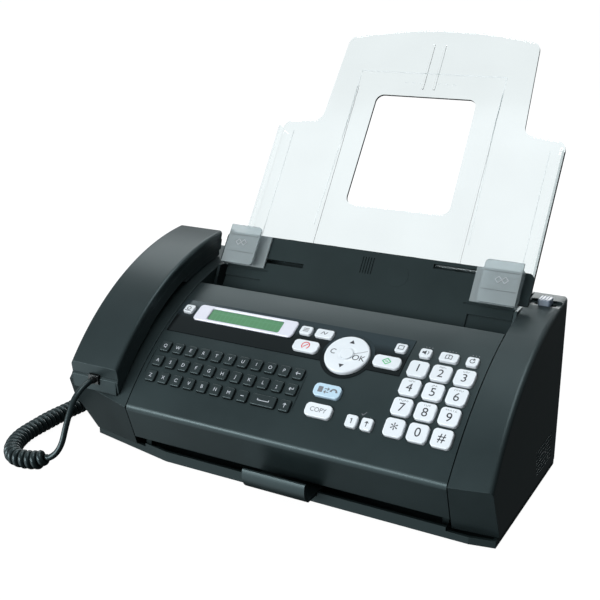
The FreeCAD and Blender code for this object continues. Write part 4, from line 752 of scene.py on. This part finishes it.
def make_stage():
    """Pale floor. It neither lights the object nor mirrors in it, so the dark plastic keeps its tone."""
    bpy.ops.mesh.primitive_plane_add(size=FLOOR_SIZE, location=(0, 0, 0))
    floor = bpy.context.object
    floor.name = "floor"
    floor.visible_diffuse = False
    floor.visible_glossy = False
    material, tree, shader, add = nodes_of("pale_floor")
    place = add("ShaderNodeTexCoord")
    cloud = add("ShaderNodeTexNoise", Scale=3.0, Detail=2.0)
    tree.links.new(place.outputs["Object"], cloud.inputs["Vector"])
    tree.links.new(ramp(tree, add, cloud.outputs["Fac"], *FLOOR_TONES), shader.inputs["Base Color"])
    shader.inputs["Roughness"].default_value = 0.8
    shader.inputs["Specular IOR Level"].default_value = 0.0
    shader.inputs["Emission Color"].default_value = (1, 1, 1, 1)
    shader.inputs["Emission Strength"].default_value = FLOOR_GLOW
    floor.data.materials.append(material)


def sky_strength(tree):
    """Brightness of the surroundings by direction: the sum of the soft glows."""
    facing = tree.nodes.new("ShaderNodeTexCoord")
    total = tree.nodes.new("ShaderNodeMath")
    total.operation = "ADD"
    for slot, (direction, low, high, dim, bright) in enumerate(SKY_GLOWS):
        toward = tree.nodes.new("ShaderNodeVectorMath")
        toward.operation = "DOT_PRODUCT"
        toward.inputs[1].default_value = Vector(direction).normalized()
        level = tree.nodes.new("ShaderNodeMapRange")
        level.interpolation_type = "SMOOTHSTEP"
        for key, value in (("From Min", low), ("From Max", high), ("To Min", dim), ("To Max", bright)):
            level.inputs[key].default_value = value
        tree.links.new(facing.outputs["Generated"], toward.inputs[0])
        tree.links.new(toward.outputs["Value"], level.inputs["Value"])
        tree.links.new(level.outputs["Result"], total.inputs[slot])
    return total.outputs["Value"]


def make_sky():
    """Surroundings that light the object softly, and look as pale as the floor."""
    world = bpy.data.worlds.new("studio")
    bpy.context.scene.world = world
    world.use_nodes = True
    tree = world.node_tree
    background = tree.nodes["Background"]
    background.inputs["Color"].default_value = SKY_TINT
    tree.links.new(sky_strength(tree), background.inputs["Strength"])
    ray = tree.nodes.new("ShaderNodeLightPath")
    pale = tree.nodes.new("ShaderNodeBackground")
    pale.inputs["Strength"].default_value = PALE_SKY
    mixed = tree.nodes.new("ShaderNodeMixShader")
    tree.links.new(ray.outputs["Is Camera Ray"], mixed.inputs["Fac"])
    tree.links.new(background.outputs["Background"], mixed.inputs[1])
    tree.links.new(pale.outputs["Background"], mixed.inputs[2])
    tree.links.new(mixed.outputs["Shader"], tree.nodes["World Output"].inputs["Surface"])


def make_lamps():
    """Soft boxes round the object."""
    for name, place, target, size, power in LAMPS:
        data = bpy.data.lights.new(name, "AREA")
        data.shape = "RECTANGLE"
        data.size, data.size_y = size
        data.energy = power
        lamp = new_object(name, data)
        lamp.location = place
        lamp.rotation_euler = (Vector(target) - Vector(place)).to_track_quat("-Z", "Y").to_euler()


def make_camera():
    """Camera at the photograph's viewing angle."""
    data = bpy.data.cameras.new("camera")
    data.lens = LENS
    data.sensor_width = SENSOR_WIDTH
    data.clip_start = 0.01
    camera = new_object("camera", data)
    camera.location = at(*CAMERA_PLACE)
    camera.rotation_euler = (math.radians(90 - CAMERA_ELEVATION), 0, math.radians(CAMERA_AZIMUTH))
    bpy.context.scene.camera = camera
    bpy.context.scene.view_settings.view_transform = "Standard"


# ------------------------------------------------------------------ all of it
make_camera()
handset_cord()
paint_frame()
letter_legends()
number_legends()
function_legends()
small_signs()
dial_surround()
dial_legends()
panel_prints()
guide_marks()
tray_marks()
plate_marks()
make_stage()
make_sky()
make_lamps()
